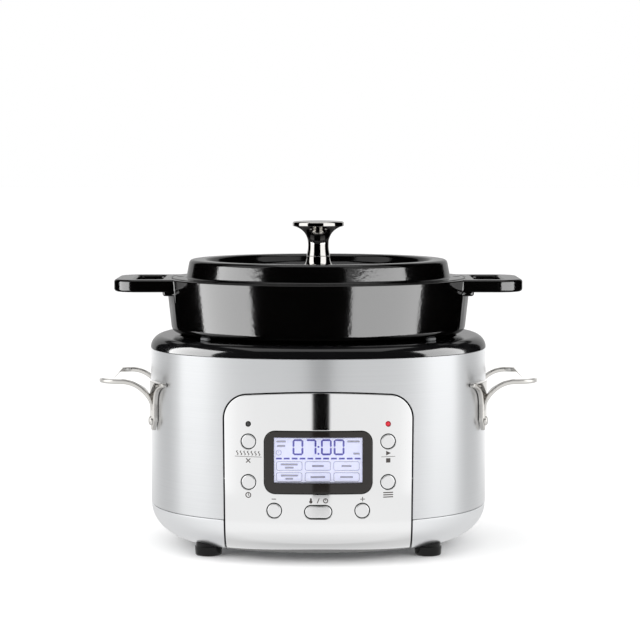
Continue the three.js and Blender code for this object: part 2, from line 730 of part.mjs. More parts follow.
// The cast plate under the pot: a lip that rests on the liner, and a groove for the element.
function heaterPlate() {
  const bore = SENSOR_RADIUS + SENSOR_SIDE_GAP;
  const groove = ELEMENT_RADIUS + FIT_GAP;
  const grooveTop = HEATER_LOW_Z + ELEMENT_RADIUS + groove;
  const lipZ = HEATER_TOP_Z - HEATER_LIP_THICKNESS;
  const ringIn = ELEMENT_RING_RADIUS - groove;
  const ringOut = ELEMENT_RING_RADIUS + groove;
  const body = HEATER_RADIUS - HEATER_LIP - FIT_GAP;
  const profile = [
    [bore, HEATER_TOP_Z],
    [HEATER_RADIUS, HEATER_TOP_Z],
    [HEATER_RADIUS, lipZ],
    [body, lipZ],
    [body, HEATER_LOW_Z + FIT_GAP],
    [ringOut, HEATER_LOW_Z],
    [ringOut, grooveTop],
    [ringIn, grooveTop],
    [ringIn, HEATER_LOW_Z],
    [bore, HEATER_LOW_Z],
  ];
  return revolve(profile, WELL_SEGMENTS);
}

// An open ring of tubular heater whose two ends turn down to their terminals.
function heatingElement() {
  const z = HEATER_LOW_Z + ELEMENT_RADIUS;
  const start = Math.PI * (1 / 2 + ELEMENT_GAP_SHARE);
  const sweep = 2 * Math.PI * (1 - ELEMENT_GAP_SHARE);
  const bendRadius = 2 * ELEMENT_RADIUS;
  const at = (angle, height) =>
    new THREE.Vector3(ELEMENT_RING_RADIUS * Math.cos(angle), ELEMENT_RING_RADIUS * Math.sin(angle), height);
  const leg = (angle, side) => {
    const points = [];
    for (let i = 1; i <= RIM_STEPS; i += 1) {
      const turn = (Math.PI / 2) * (i / RIM_STEPS);
      const along = (side * bendRadius * Math.sin(turn)) / ELEMENT_RING_RADIUS;
      points.push(at(angle + along, z - bendRadius * (1 - Math.cos(turn))));
    }
    points.push(at(angle + (side * bendRadius) / ELEMENT_RING_RADIUS, z - bendRadius - ELEMENT_LEG_DROP));
    return points;
  };
  const ring = [];
  for (let i = 0; i <= SMALL_SEGMENTS; i += 1) {
    ring.push(at(start + (sweep * i) / SMALL_SEGMENTS, z));
  }
  const points = [...leg(start, -1).reverse(), ...ring, ...leg(start + sweep, 1)];
  return tube(points, ELEMENT_RADIUS, 2 * SMALL_SEGMENTS + TINY_SEGMENTS, TUBE_SIDES);
}

// A round wire or tube along a smooth curve through the points.
function tube(points, radius, steps, sides) {
  const section = new THREE.Shape();
  for (let i = 0; i < sides; i += 1) {
    const turn = (2 * Math.PI * i) / sides;
    const place = [radius * Math.cos(turn), radius * Math.sin(turn)];
    if (i === 0) {
      section.moveTo(...place);
    } else {
      section.lineTo(...place);
    }
  }
  const extrudePath = new THREE.CatmullRomCurve3(points, false, "centripetal");
  return solidOf(new THREE.ExtrudeGeometry(section, { steps, bevelEnabled: false, extrudePath }));
}

function temperatureSensor() {
  const top = HEATER_TOP_Z;
  const inner = SENSOR_RADIUS - SENSOR_WALL;
  return revolve(
    [
      [0, top],
      [SENSOR_RADIUS - SENSOR_WALL / 2, top],
      [SENSOR_RADIUS, top - SENSOR_WALL / 2],
      [SENSOR_RADIUS, top - SENSOR_SKIRT_DEPTH],
      [inner, top - SENSOR_SKIRT_DEPTH],
      [inner, top - SENSOR_CAP_THICKNESS],
      [0, top - SENSOR_CAP_THICKNESS],
    ],
    SMALL_SEGMENTS,
  );
}

// The stamped cup that hangs under the heater plate and holds the sensor's spring.
function sensorBracket() {
  const top = HEATER_LOW_Z - FIT_GAP;
  const low = BRACKET_FLOOR_Z - BRACKET_WALL;
  const outer = SENSOR_RADIUS + SENSOR_SIDE_GAP + BRACKET_WALL;
  const inner = outer - BRACKET_WALL;
  return revolve(
    [
      [SPRING_RADIUS / 2, low],
      [outer, low],
      [outer, top - BRACKET_WALL],
      [BRACKET_RADIUS, top - BRACKET_WALL],
      [BRACKET_RADIUS, top],
      [inner, top],
      [inner, BRACKET_FLOOR_Z],
      [SPRING_RADIUS / 2, BRACKET_FLOOR_Z],
    ],
    SMALL_SEGMENTS,
  );
}

function springSpan() {
  const low = BRACKET_FLOOR_Z + FIT_GAP + SPRING_WIRE_RADIUS;
  const high = HEATER_TOP_Z - SENSOR_CAP_THICKNESS - FIT_GAP - SPRING_WIRE_RADIUS;
  return [low, high];
}

function sensorSpring() {
  const [low, high] = springSpan();
  const steps = SPRING_TURNS * TINY_SEGMENTS;
  const points = [];
  for (let i = 0; i <= steps; i += 1) {
    const turn = (2 * Math.PI * i) / TINY_SEGMENTS;
    const z = low + ((high - low) * i) / steps;
    points.push(new THREE.Vector3(SPRING_RADIUS * Math.cos(turn), SPRING_RADIUS * Math.sin(turn), z));
  }
  return tube(points, SPRING_WIRE_RADIUS, steps, WIRE_SIDES);
}

function thermalFuse() {
  const z = HEATER_LOW_Z - FIT_GAP - FUSE_RADIUS;
  const body = new THREE.CylinderGeometry(FUSE_RADIUS, FUSE_RADIUS, FUSE_LENGTH, TINY_SEGMENTS);
  const lead = new THREE.CylinderGeometry(
    FUSE_LEAD_RADIUS,
    FUSE_LEAD_RADIUS,
    FUSE_LENGTH + 2 * FUSE_LEAD,
    TINY_SEGMENTS / 2,
  );
  const whole = join(solidOf(body), solidOf(lead));
  return solidOf(geometryOf(whole).translate(FUSE_PLACE_RADIUS, 0, z));
}

function basePlate() {
  const inset = SKIRT_ROUND_RUN + FIT_GAP;
  const low = casingRing(inset, PLATE_Z);
  const high = casingRing(inset, PLATE_Z + PLATE_THICKNESS);
  const plate = solidOf(loft([low, high], false));
  const vents = [];
  for (let i = 0; i < VENT_COUNT; i += 1) {
    const x = (i - (VENT_COUNT - 1) / 2) * VENT_PITCH;
    const slot = roundedRect(VENT_WIDTH, VENT_LENGTH, VENT_WIDTH / 2);
    const geometry = new THREE.ExtrudeGeometry(slot, {
      depth: PLATE_THICKNESS + 2 * CUT_OVERRUN,
      bevelEnabled: false,
      curveSegments: EDGE_STEPS,
    });
    const y = CASING_B / 2 - VENT_LENGTH / 2;
    vents.push(solidOf(geometry.translate(x, y, PLATE_Z - CUT_OVERRUN)));
  }
  const posts = powerPosts((x, y) =>
    cylinderZ(POWER_POST_RADIUS, PLATE_Z, PLATE_Z + POWER_POST_HEIGHT, TINY_SEGMENTS, x, y),
  );
  return cut(join(plate, ...posts), ...vents);
}

// The four posts under the power board, in from its corners.
function powerPosts(build) {
  const x = POWER_BOARD_LENGTH / 2 - 2 * POWER_POST_RADIUS;
  const y = POWER_BOARD_WIDTH / 2 - 2 * POWER_POST_RADIUS;
  return [-1, 1].flatMap((sx) => [-1, 1].map((sy) => build(sx * x, sy * y - CASING_B / 4)));
}

function powerBoard() {
  const y = -CASING_B / 4;
  const low = PLATE_Z + POWER_POST_HEIGHT + FIT_GAP;
  const top = low + BOARD_THICKNESS;
  const halfX = POWER_BOARD_LENGTH / 2;
  const halfY = POWER_BOARD_WIDTH / 2;
  const sheet = box([-halfX, y - halfY, low], [halfX, y + halfY, top]);
  const relayX = -halfX + SINK_FIN;
  const relay = box([relayX, y, low], [relayX + RELAY_LENGTH, y + RELAY_WIDTH, top + RELAY_HEIGHT]);
  const capacitor = cylinderZ(
    CAPACITOR_RADIUS,
    low,
    top + CAPACITOR_HEIGHT,
    TINY_SEGMENTS,
    relayX + RELAY_LENGTH / 2,
    y - CAPACITOR_RADIUS - SINK_FIN,
  );
  const sinkX = halfX - SINK_LENGTH - SINK_FIN;
  const pitch = 2 * SINK_FIN + SINK_FIN / 2;
  const depth = pitch * (SINK_FINS - 1) + SINK_FIN;
  const fins = [];
  for (let i = 0; i < SINK_FINS; i += 1) {
    const finY = y - depth / 2 + i * pitch;
    fins.push(box([sinkX, finY, low], [sinkX + SINK_LENGTH, finY + SINK_FIN, top + SINK_HEIGHT]));
  }
  const sinkBase = box([sinkX, y - depth / 2, low], [sinkX + SINK_LENGTH, y + depth / 2, top + SINK_FIN]);
  return join(sheet, relay, capacitor, sinkBase, ...fins);
}

function foot(x, y) {
  const edge = FOOT_EDGE_ROUND;
  const profile = [
    [0, 0],
    [FOOT_RADIUS - edge, 0],
    [FOOT_RADIUS, edge],
    [FOOT_RADIUS, FOOT_HEIGHT],
    [0, FOOT_HEIGHT],
  ];
  const body = solidOf(geometryOf(revolve(profile, SMALL_SEGMENTS)).translate(x, y, 0));
  const recess = cylinderZ(
    FOOT_SCREW_HEAD_RADIUS + FIT_GAP,
    -CUT_OVERRUN,
    FOOT_RECESS_DEPTH,
    TINY_SEGMENTS,
    x,
    y,
  );
  const bore = cylinderZ(FOOT_SCREW_RADIUS + FIT_GAP, 0, FOOT_HEIGHT + CUT_OVERRUN, TINY_SEGMENTS, x, y);
  return cut(body, casingBody(-FIT_GAP), recess, bore);
}

function footScrew(x, y) {
  const head = FOOT_RECESS_DEPTH - FIT_GAP;
  const profile = [
    [0, head - FOOT_SCREW_HEAD],
    [FOOT_SCREW_HEAD_RADIUS, head - FOOT_SCREW_HEAD],
    [FOOT_SCREW_HEAD_RADIUS, head],
    [FOOT_SCREW_RADIUS, head],
    [FOOT_SCREW_RADIUS, head + FOOT_SCREW_LENGTH],
    [0, head + FOOT_SCREW_LENGTH],
  ];
  return solidOf(geometryOf(revolve(profile, TINY_SEGMENTS)).translate(x, y, 0));
}

// Where each handle bolt crosses the casing: its point on the outer face and its outward angle.
function boltPlaces() {
  const places = [];
  for (const [side, sx] of [["left", -1], ["right", 1]]) {
    for (const [end, sy] of [["front", -1], ["rear", 1]]) {
      const x = sideX(HANDLE_STEM_Y, 0);
      const nx = (x / CASING_A) ** (CASING_POWER - 1) / CASING_A;
      const ny = (HANDLE_STEM_Y / CASING_B) ** (CASING_POWER - 1) / CASING_B;
      const angle = Math.atan2(sy * ny, sx * nx);
      places.push([`${side}_${end}`, { x: sx * x, y: sy * HANDLE_STEM_Y, angle }]);
    }
  }
  return places;
}

// Turns a piece drawn about the Z axis, +Z outwards, to stand on the casing at a bolt's place.
function atBolt(solid, place) {
  const geometry = geometryOf(solid).rotateY(Math.PI / 2).rotateZ(place.angle);
  return solidOf(geometry.translate(place.x, place.y, HANDLE_BOLT_Z));
}

function boltHole(place) {
  const reach = HANDLE_THICKNESS + 2 * CUT_OVERRUN;
  return atBolt(cylinderZ(BOLT_RADIUS + FIT_GAP, -reach, reach, TINY_SEGMENTS), place);
}

function handleBolt(place) {
  const seat = HANDLE_THICKNESS + 2 * FIT_GAP;
  const inner = -SHELL_WALL - FIT_GAP - WALL_SAG - NUT_HEIGHT;
  const dome = quarter(
    [BOLT_HEAD_RADIUS, seat],
    [0, seat + BOLT_HEAD_HEIGHT],
    [BOLT_HEAD_RADIUS, seat + BOLT_HEAD_HEIGHT],
    EDGE_STEPS,
  );
  const profile = [[0, inner], [BOLT_RADIUS, inner], [BOLT_RADIUS, seat], ...dome];
  return atBolt(revolve(profile, TINY_SEGMENTS), place);
}

function handleNut(place) {
  const top = -SHELL_WALL - FIT_GAP - WALL_SAG;
  const bore = BOLT_RADIUS + FIT_GAP;
  const hexagon = cylinderZ(NUT_RADIUS, top - NUT_HEIGHT, top, HEX_SIDES);
  const thread = cylinderZ(bore, top - NUT_HEIGHT - CUT_OVERRUN, top + CUT_OVERRUN, TINY_SEGMENTS);
  return atBolt(cut(hexagon, thread), place);
}

// Side view of one forked bracket: a pointed stem whose outer edge sweeps away from the grip.
function bracketOutline(sy) {
  const half = HANDLE_STEM_WIDTH / 2;
  const inner = HANDLE_STEM_Y - half;
  const outer = HANDLE_STEM_Y + half;
  const top = HANDLE_TOP_Z - HANDLE_WING_TOP_DROP;
  const tip = outer + HANDLE_WING_RUN;
  const rise = top - HANDLE_FORK_Z;
  const shape = new THREE.Shape();
  shape.moveTo(sy * HANDLE_STEM_Y, HANDLE_TIP_Z);
  shape.lineTo(sy * outer, HANDLE_TIP_Z + HANDLE_TIP_HEIGHT);
  shape.lineTo(sy * outer, HANDLE_FORK_Z);
  shape.quadraticCurveTo(sy * outer, HANDLE_FORK_Z + rise * HANDLE_FORK_SHARE, sy * tip, top);
  shape.lineTo(sy * inner, top);
  shape.lineTo(sy * inner, HANDLE_TIP_Z + HANDLE_TIP_HEIGHT);
  return shape;
}

// Front view of the grip strap: flat at the top, then swept down on to the stem.
function strapOutline() {
  const top = HANDLE_TOP_Z;
  const low = top - HANDLE_THICKNESS;
  const reach = CASING_A + HANDLE_REACH;
  const face = sideX(HANDLE_STEM_Y, 0) + FIT_GAP;
  const outer = face + HANDLE_THICKNESS;
  const bend = outer + HANDLE_ARM_RUN;
  const shape = new THREE.Shape();
  const rootZ = HANDLE_ARM_ROOT_Z;
  shape.moveTo(outer, rootZ);
  shape.absellipse(bend, rootZ, bend - outer, low - rootZ, Math.PI, Math.PI / 2, true);
  shape.lineTo(reach - HANDLE_EDGE_ROUND, low);
  shape.lineTo(reach, low + HANDLE_EDGE_ROUND);
  shape.lineTo(reach, top - HANDLE_EDGE_ROUND);
  shape.lineTo(reach - HANDLE_EDGE_ROUND, top);
  shape.lineTo(bend, top);
  const root = face + HANDLE_THICKNESS / 3;
  shape.absellipse(bend, rootZ, bend - root, top - rootZ, Math.PI / 2, Math.PI, false);
  return shape;
}

// Plan of the grip loop, open towards the casing.
function loopPlan(inset) {
  const reach = CASING_A + HANDLE_REACH - inset;
  const half = HANDLE_STEM_Y + HANDLE_STEM_WIDTH / 2 - inset;
  const corner = HANDLE_CORNER - inset;
  const shape = new THREE.Shape();
  shape.moveTo(0, -half);
  shape.lineTo(reach - corner, -half);
  shape.absarc(reach - corner, corner - half, corner, -Math.PI / 2, 0);
  shape.absarc(reach - corner, half - corner, corner, 0, Math.PI / 2);
  shape.lineTo(0, half);
  return shape;
}

function planPrism(shape, low, high, curveSegments = ROUND_STEPS) {
  const depth = high - low;
  const geometry = new THREE.ExtrudeGeometry(shape, { depth, bevelEnabled: false, curveSegments });
  return solidOf(geometry.translate(0, 0, low));
}

// The loop handle at +X; the other is the same casting turned half round.
function sideHandle() {
  const low = HANDLE_TIP_Z - CUT_OVERRUN;
  const high = HANDLE_TOP_Z + CUT_OVERRUN;
  const band = solidOf(
    loft(
      [
        casingRing(-FIT_GAP - HANDLE_THICKNESS, low),
        casingRing(-FIT_GAP - HANDLE_THICKNESS, high),
        casingRing(-FIT_GAP, high),
        casingRing(-FIT_GAP, low),
      ],
      true,
    ),
  );
  const reach = CASING_A + HANDLE_REACH + CUT_OVERRUN;
  const brackets = [-1, 1].map((sy) => sidePrism(bracketOutline(sy), 0, reach).intersect(band));
  const half = HANDLE_STEM_Y + HANDLE_STEM_WIDTH / 2;
  const strap = frontPrism(strapOutline(), -half, half);
  const loop = planPrism(loopPlan(0), low, high).subtract(planPrism(loopPlan(HANDLE_GRIP_WIDTH), low, high));
  const inside = casingBody(-FIT_GAP);
  return join(cut(strap.intersect(loop), inside), ...brackets);
}

function handleAt(turned) {
  const geometry = geometryOf(sideHandle());
  if (turned) {
    geometry.rotateZ(Math.PI);
  }
  const sx = turned ? "left" : "right";
  const holes = boltPlaces().filter(([name]) => name.startsWith(sx));
  return cut(solidOf(geometry), ...holes.map(([, place]) => boltHole(place)));
}

function displayBezel() {
  const back = -CASING_B + BEZEL_DEPTH;
  const rim = frontPrism(
    roundedRect(BEZEL_WIDTH, BEZEL_HEIGHT, BEZEL_CORNER),
    -CASING_B - CUT_OVERRUN,
    back,
    0,
    BEZEL_Z,
  );
  const opening = frontPrism(
    roundedRect(WINDOW_WIDTH, WINDOW_HEIGHT, WINDOW_CORNER),
    -CASING_B - CUT_OVERRUN,
    0,
    0,
    BEZEL_Z + WINDOW_RISE,
  );
  return rim.intersect(casingBody(-FACE_PROUD)).subtract(opening);
}

function displayWindow() {
  const pane = frontPrism(
    roundedRect(WINDOW_WIDTH - 2 * FIT_GAP, WINDOW_HEIGHT - 2 * FIT_GAP, WINDOW_CORNER),
    -CASING_B - CUT_OVERRUN,
    0,
    0,
    BEZEL_Z + WINDOW_RISE,
  );
  const front = casingBody(WINDOW_RECESS - FACE_PROUD);
  return pane.intersect(front).subtract(casingBody(WINDOW_RECESS - FACE_PROUD + WINDOW_THICKNESS));
}

function lcdPanel() {
  const deepest = frontY(WINDOW_WIDTH / 2, WINDOW_RECESS - FACE_PROUD + WINDOW_THICKNESS);
  const front = deepest + WALL_SAG + FIT_GAP;
  const shape = roundedRect(WINDOW_WIDTH - 2 * FIT_GAP, WINDOW_HEIGHT - 2 * FIT_GAP, WINDOW_CORNER);
  return frontPrism(shape, front, front + LCD_THICKNESS, 0, BEZEL_Z + WINDOW_RISE);
}

// The board behind the fascia, with a switch under each button's stem.
function controlBoard() {
  const sheet = box(
    [-BOARD_HALF_WIDTH, BOARD_FRONT_Y, BOARD_LOW_Z],
    [BOARD_HALF_WIDTH, BOARD_FRONT_Y + BOARD_THICKNESS, BOARD_LOW_Z + BOARD_HEIGHT],
  );
  const half = SWITCH_SIZE / 2;
  const switches = BUTTONS.map(([, x, z]) =>
    box([x - half, BOARD_FRONT_Y - half, z - half], [x + half, BOARD_FRONT_Y + BOARD_THICKNESS, z + half]),
  );
  return join(sheet, ...switches);
}

function button(name, x, z) {
  const front = -CASING_B - CUT_OVERRUN;
  const flangeFront = frontY(Math.abs(x) + BUTTON_RADIUS, FASCIA_WALL + FIT_GAP);
  const flangeBack = flangeFront + BUTTON_FLANGE_THICKNESS;
  const cap = buttonPrism(name, x, z, 0, front, flangeBack).intersect(casingBody(-FACE_PROUD));
  const ring = BUTTON_RING_GAP + BUTTON_FLANGE;
  const behind = casingBody(FASCIA_WALL + FIT_GAP);
  const flange = buttonPrism(name, x, z, ring, front, flangeBack).intersect(behind);
  const stemFront = flangeBack - BUTTON_FLANGE_THICKNESS;
  const stem = cylinderY(BUTTON_STEM_RADIUS, stemFront, STEM_END_Y, TINY_SEGMENTS, x, z);
  return join(cap, flange, stem);
}

// A light pipe from the board to the fascia's face.
function lamp(side) {
  const x = side * BUTTON_COLUMN_X;
  const front = -CASING_B - CUT_OVERRUN;
  const back = BOARD_FRONT_Y - FIT_GAP;
  const pipe = cylinderY(LAMP_RADIUS, front, back, TINY_SEGMENTS, x, LAMP_Z);
  const flange = cylinderY(LAMP_RADIUS + LAMP_FLANGE, front, back, TINY_SEGMENTS, x, LAMP_Z);
  const behind = casingBody(FASCIA_WALL + FIT_GAP);
  return join(pipe.intersect(casingBody(-FACE_PROUD)), flange.intersect(behind));
}

function powerInlet() {
  const face = CASING_B + FACE_PROUD;
  const back = face - INLET_DEPTH;
  const width = INLET_WIDTH + 2 * INLET_FLANGE;
  const height = INLET_HEIGHT + 2 * INLET_FLANGE;
  const flatFace = -frontY(INLET_WIDTH / 2 + INLET_FLANGE, 0);
  const frame = roundedRect(width, height, INLET_CORNER);
  const slab = frontPrism(frame, flatFace - CUT_OVERRUN, face, 0, INLET_Z);
  const flange = slab.subtract(casingBody(-FIT_GAP));
  const body = frontPrism(roundedRect(INLET_WIDTH, INLET_HEIGHT, INLET_CORNER), back, face, 0, INLET_Z);
  const pocket = frontPrism(
    roundedRect(INLET_WIDTH - 2 * INLET_WALL, INLET_HEIGHT - 2 * INLET_WALL, INLET_CORNER - INLET_WALL),
    face - INLET_POCKET_DEPTH,
    face + CUT_OVERRUN,
    0,
    INLET_Z,
  );
  const pinBack = face - INLET_POCKET_DEPTH - INLET_WALL / 2;
  const pinZ = INLET_Z - INLET_HEIGHT / 2 + INLET_WALL + 2 * PIN_RADIUS;
  const pins = [-1, 1].map((side) =>
    cylinderY(PIN_RADIUS, pinBack, pinBack + PIN_LENGTH, TINY_SEGMENTS, (side * PIN_PITCH) / 2, pinZ),
  );
  return join(join(body, flange).subtract(pocket), ...pins);
}

// Outline of the pot's outside, from the middle of its foot to the top of its lip.
function potOutside() {
  const shoulder = POT_LEDGE_Z - POT_WALL / 2;
  const rimLow = POT_HEIGHT - POT_EDGE_ROUND;
  return [
    [0, 0],
    ...quarter(
      [POT_FOOT_RADIUS, 0],
      [POT_BELLY_RADIUS, POT_BELLY_Z],
      [POT_BELLY_RADIUS - POT_WALL, POT_WALL / 2],
    ),
    [POT_SHOULDER_RADIUS, shoulder],
    [POT_SHOULDER_RADIUS + POT_EDGE_ROUND, POT_LEDGE_Z],
    ...quarter(
      [POT_BAND_RADIUS - POT_BAND_ROUND, POT_LEDGE_Z],
      [POT_BAND_RADIUS, POT_LEDGE_Z + POT_BAND_ROUND],
      [POT_BAND_RADIUS, POT_LEDGE_Z],
      EDGE_STEPS,
    ),
    [POT_RIM_RADIUS, rimLow],
    [POT_RIM_RADIUS - POT_EDGE_ROUND, POT_HEIGHT],
  ];
}

// Outline of the pot's inside, from the lip's rebate down to the middle of its floor.
function potInside() {
  const foot = POT_FOOT_RADIUS - POT_WALL;
  const belly = POT_BELLY_RADIUS - POT_WALL;
  return [
    [LIP_INNER_RADIUS, POT_HEIGHT - POT_EDGE_ROUND / 2],
    [LIP_INNER_RADIUS, POT_HEIGHT - POT_REBATE_DEPTH],
    [MOUTH_RADIUS, POT_HEIGHT - POT_REBATE_DEPTH],
    [POT_BAND_RADIUS - POT_WALL, POT_LEDGE_Z + POT_BAND_ROUND + POT_WALL],
    [POT_SHOULDER_RADIUS - POT_WALL, POT_LEDGE_Z],
    ...quarter([belly, POT_BELLY_Z], [foot, POT_FLOOR], [belly - POT_WALL, POT_FLOOR + POT_WALL / 2]),
    [0, POT_FLOOR],
  ];
}

// One cast-on loop handle at +X: a rounded plate with a window, and a gusset under its root.
function potHandle() {
  const reach = POT_RIM_RADIUS + POT_HANDLE_REACH - POT_HANDLE_EDGE_ROUND;
  const half = POT_HANDLE_WIDTH / 2 - POT_HANDLE_EDGE_ROUND;
  const corner = POT_HANDLE_CORNER - POT_HANDLE_EDGE_ROUND;
  const root = MOUTH_RADIUS / 2;
  const shape = new THREE.Shape();
  shape.moveTo(root, -half);
  shape.lineTo(reach - corner, -half);
  shape.absarc(reach - corner, corner - half, corner, -Math.PI / 2, 0);
  shape.absarc(reach - corner, half - corner, corner, 0, Math.PI / 2);
  shape.lineTo(root, half);
  const windowNear = POT_RIM_RADIUS + POT_HANDLE_WINDOW_INSET - POT_HANDLE_EDGE_ROUND;
  const windowFar = POT_RIM_RADIUS + POT_HANDLE_REACH - POT_HANDLE_OUTER_BAR + POT_HANDLE_EDGE_ROUND;
  const windowHalf = POT_HANDLE_WIDTH / 2 - POT_HANDLE_BAR + POT_HANDLE_EDGE_ROUND;
  const windowShape = roundedRect(windowFar - windowNear, 2 * windowHalf, POT_HANDLE_WINDOW_CORNER);
  const hole = new THREE.Path();
  const middle = (windowNear + windowFar) / 2;
  const corners = windowShape.getPoints(EDGE_STEPS);
  hole.setFromPoints(corners.map((point) => new THREE.Vector2(point.x + middle, point.y)));
  shape.holes.push(hole);
  const plate = new THREE.ExtrudeGeometry(shape, {
    depth: POT_HANDLE_THICKNESS - 2 * POT_HANDLE_EDGE_ROUND,
    bevelSize: POT_HANDLE_EDGE_ROUND,
    bevelThickness: POT_HANDLE_EDGE_ROUND,
    bevelSegments: 1,
    curveSegments: ROUND_STEPS,
  });
  const low = POT_Z + POT_HEIGHT - POT_HANDLE_THICKNESS;
  const top = POT_Z + POT_HEIGHT;
  const bars = [-1, 1].map((sy) => {
    const outer = sy * (POT_HANDLE_WIDTH / 2 - POT_HANDLE_EDGE_ROUND);
    const inner = sy * (POT_HANDLE_WIDTH / 2 - POT_HANDLE_BAR + POT_HANDLE_EDGE_ROUND);
    const x = Math.sqrt(POT_RIM_RADIUS ** 2 - outer ** 2);
    const [y0, y1] = [Math.min(inner, outer), Math.max(inner, outer)];
    return box([root, y0, low - POT_GUSSET_DROP], [x + POT_GUSSET_REACH, y1, top - POT_HANDLE_EDGE_ROUND]);
  });
  return join(solidOf(plate.translate(0, 0, low + POT_HANDLE_EDGE_ROUND)), ...bars);
}

function pot() {
  const lift = (profile) => profile.map(([radius, z]) => [radius, z + POT_Z]);
  const bowl = revolve(lift([...potOutside(), ...potInside()]), LARGE_SEGMENTS);
  const inside = potInside();
  const hollowTop = POT_Z + POT_HEIGHT + CUT_OVERRUN;
  const hollow = revolve([[0, hollowTop], [LIP_INNER_RADIUS, hollowTop], ...lift(inside)], LARGE_SEGMENTS);
  const handle = potHandle();
  const turned = solidOf(geometryOf(handle).rotateZ(Math.PI));
  return join(bowl, cut(handle, hollow), cut(turned, hollow));
}

function lid() {
  const flangeRadius = LIP_INNER_RADIUS - LID_SIDE_GAP;
  const flangeTop = LID_Z + LID_FLANGE_THICKNESS;
  const ringTop = POT_Z + POT_HEIGHT + LID_RING_HEIGHT;
  const spigot = MOUTH_RADIUS - LID_SPIGOT_GAP;
  const spigotLow = LID_Z - LID_SPIGOT_DROP;
  const underRing = ringTop - LID_WALL;
  const underRecess = RECESS_Z - LID_WALL;
  const bore = KNOB_SCREW_RADIUS + FIT_GAP;
  const round = LID_RING_ROUND;
  const profile = [
    [bore, RECESS_Z],
    [LID_RING_INNER_RADIUS - round, RECESS_Z],
    [LID_RING_INNER_RADIUS, RECESS_Z + round],
    ...quarter(
      [LID_RING_INNER_RADIUS + round / 2, ringTop - round],
      [LID_RING_INNER_RADIUS + 2 * round, ringTop],
      [LID_RING_INNER_RADIUS + round / 2, ringTop],
      EDGE_STEPS,
    ),
    ...quarter(
      [LID_DRUM_TOP_RADIUS - round, ringTop],
      [LID_DRUM_TOP_RADIUS, ringTop - round],
      [LID_DRUM_TOP_RADIUS, ringTop],
      EDGE_STEPS,
    ),
    [LID_DRUM_FOOT_RADIUS, flangeTop + round / 2],
    [LID_DRUM_FOOT_RADIUS + round / 2, flangeTop],
    [flangeRadius - round / 2, flangeTop],
    [flangeRadius, flangeTop - round / 2],
    [flangeRadius, LID_Z],
    [spigot, LID_Z],
    [spigot - LID_SPIGOT_WIDTH / 4, spigotLow],
    [spigot - LID_SPIGOT_WIDTH, spigotLow],
    [LID_DRUM_FOOT_RADIUS - LID_WALL, LID_Z],
    [LID_DRUM_TOP_RADIUS - LID_WALL, underRing],
    [LID_RING_INNER_RADIUS + LID_WALL, underRing],
    [LID_RING_INNER_RADIUS + LID_WALL / 2, underRecess],
    [bore, underRecess],
  ];
  const body = revolve(profile, LARGE_SEGMENTS);
  const notchX = LID_DRUM_FOOT_RADIUS + LID_NOTCH_RADIUS + round;
  const notchZ = flangeTop - LID_NOTCH_DEPTH;
  const notches = [-1, 1].map((sx) =>
    cylinderZ(LID_NOTCH_RADIUS, notchZ, flangeTop + LID_WALL, TINY_SEGMENTS, sx * notchX, 0),
  );
  return cut(body, ...notches);
}

function knobCollar() {
  const low = RECESS_Z + FIT_GAP;
  const top = RECESS_Z + COLLAR_HEIGHT;
  const bore = KNOB_SCREW_RADIUS + FIT_GAP;
  const profile = [
    [bore, low],
    [COLLAR_FOOT_RADIUS, low],
    [COLLAR_FOOT_RADIUS, low + COLLAR_EDGE / 2],
    ...quarter(
      [COLLAR_FOOT_RADIUS - COLLAR_EDGE, low + COLLAR_EDGE],
      [KNOB_FOOT_RADIUS, top],
      [KNOB_FOOT_RADIUS, low + COLLAR_EDGE],
    ),
    [bore, top],
  ];
  return revolve(profile, SMALL_SEGMENTS);
}

function lidKnob() {
  const low = RECESS_Z + COLLAR_HEIGHT + FIT_GAP;
  const top = RECESS_Z + KNOB_HEIGHT;
  const discLow = top - KNOB_DISC_THICKNESS;
  const bore = KNOB_SCREW_RADIUS + FIT_GAP;
  const boreTop = low + KNOB_SCREW_REACH;
  const rimTop = top - KNOB_DOME;
  const edge = KNOB_DISC_RADIUS - KNOB_DOME / 2;
  const profile = [
    [0, boreTop],
    [bore, boreTop],
    [bore, low],
    [KNOB_FOOT_RADIUS, low],
    ...quarter(
      [KNOB_FOOT_RADIUS, low],
      [KNOB_DISC_RADIUS - KNOB_DISC_THICKNESS, discLow],
      [KNOB_WAIST_RADIUS, discLow - KNOB_DOME],
      KNOB_STEPS,
    ).slice(1),
    [edge, discLow + KNOB_DOME],
    [KNOB_DISC_RADIUS, (discLow + rimTop) / 2 + KNOB_DOME / 2],
    [edge, rimTop],
    [KNOB_DISC_RADIUS / 2, top - KNOB_DOME / 4],
    [0, top],
  ];
  return revolve(profile, SMALL_SEGMENTS);
}

function knobWasher() {
  const top = RECESS_Z - LID_WALL - FIT_GAP;
  const low = top - KNOB_WASHER_THICKNESS;
  const bore = KNOB_SCREW_RADIUS + FIT_GAP;
  const profile = [
    [bore, low],
    [KNOB_WASHER_RADIUS, low],
    [KNOB_WASHER_RADIUS, top],
    [bore, top],
  ];
  return revolve(profile, BUTTON_SEGMENTS);
}

function knobScrew() {
  const seat = RECESS_Z - LID_WALL - KNOB_WASHER_THICKNESS - 2 * FIT_GAP;
  const tip = RECESS_Z + COLLAR_HEIGHT + KNOB_SCREW_REACH;
  const profile = [
    [0, seat - KNOB_SCREW_HEAD],
    [KNOB_SCREW_HEAD_RADIUS - KNOB_SCREW_HEAD / 4, seat - KNOB_SCREW_HEAD],
    [KNOB_SCREW_HEAD_RADIUS, seat - KNOB_SCREW_HEAD / 2],
    [KNOB_SCREW_HEAD_RADIUS, seat],
    [KNOB_SCREW_RADIUS, seat],
    [KNOB_SCREW_RADIUS, tip],
    [0, tip],
  ];
  return revolve(profile, TINY_SEGMENTS);
}

const oven = new THREE.Group();

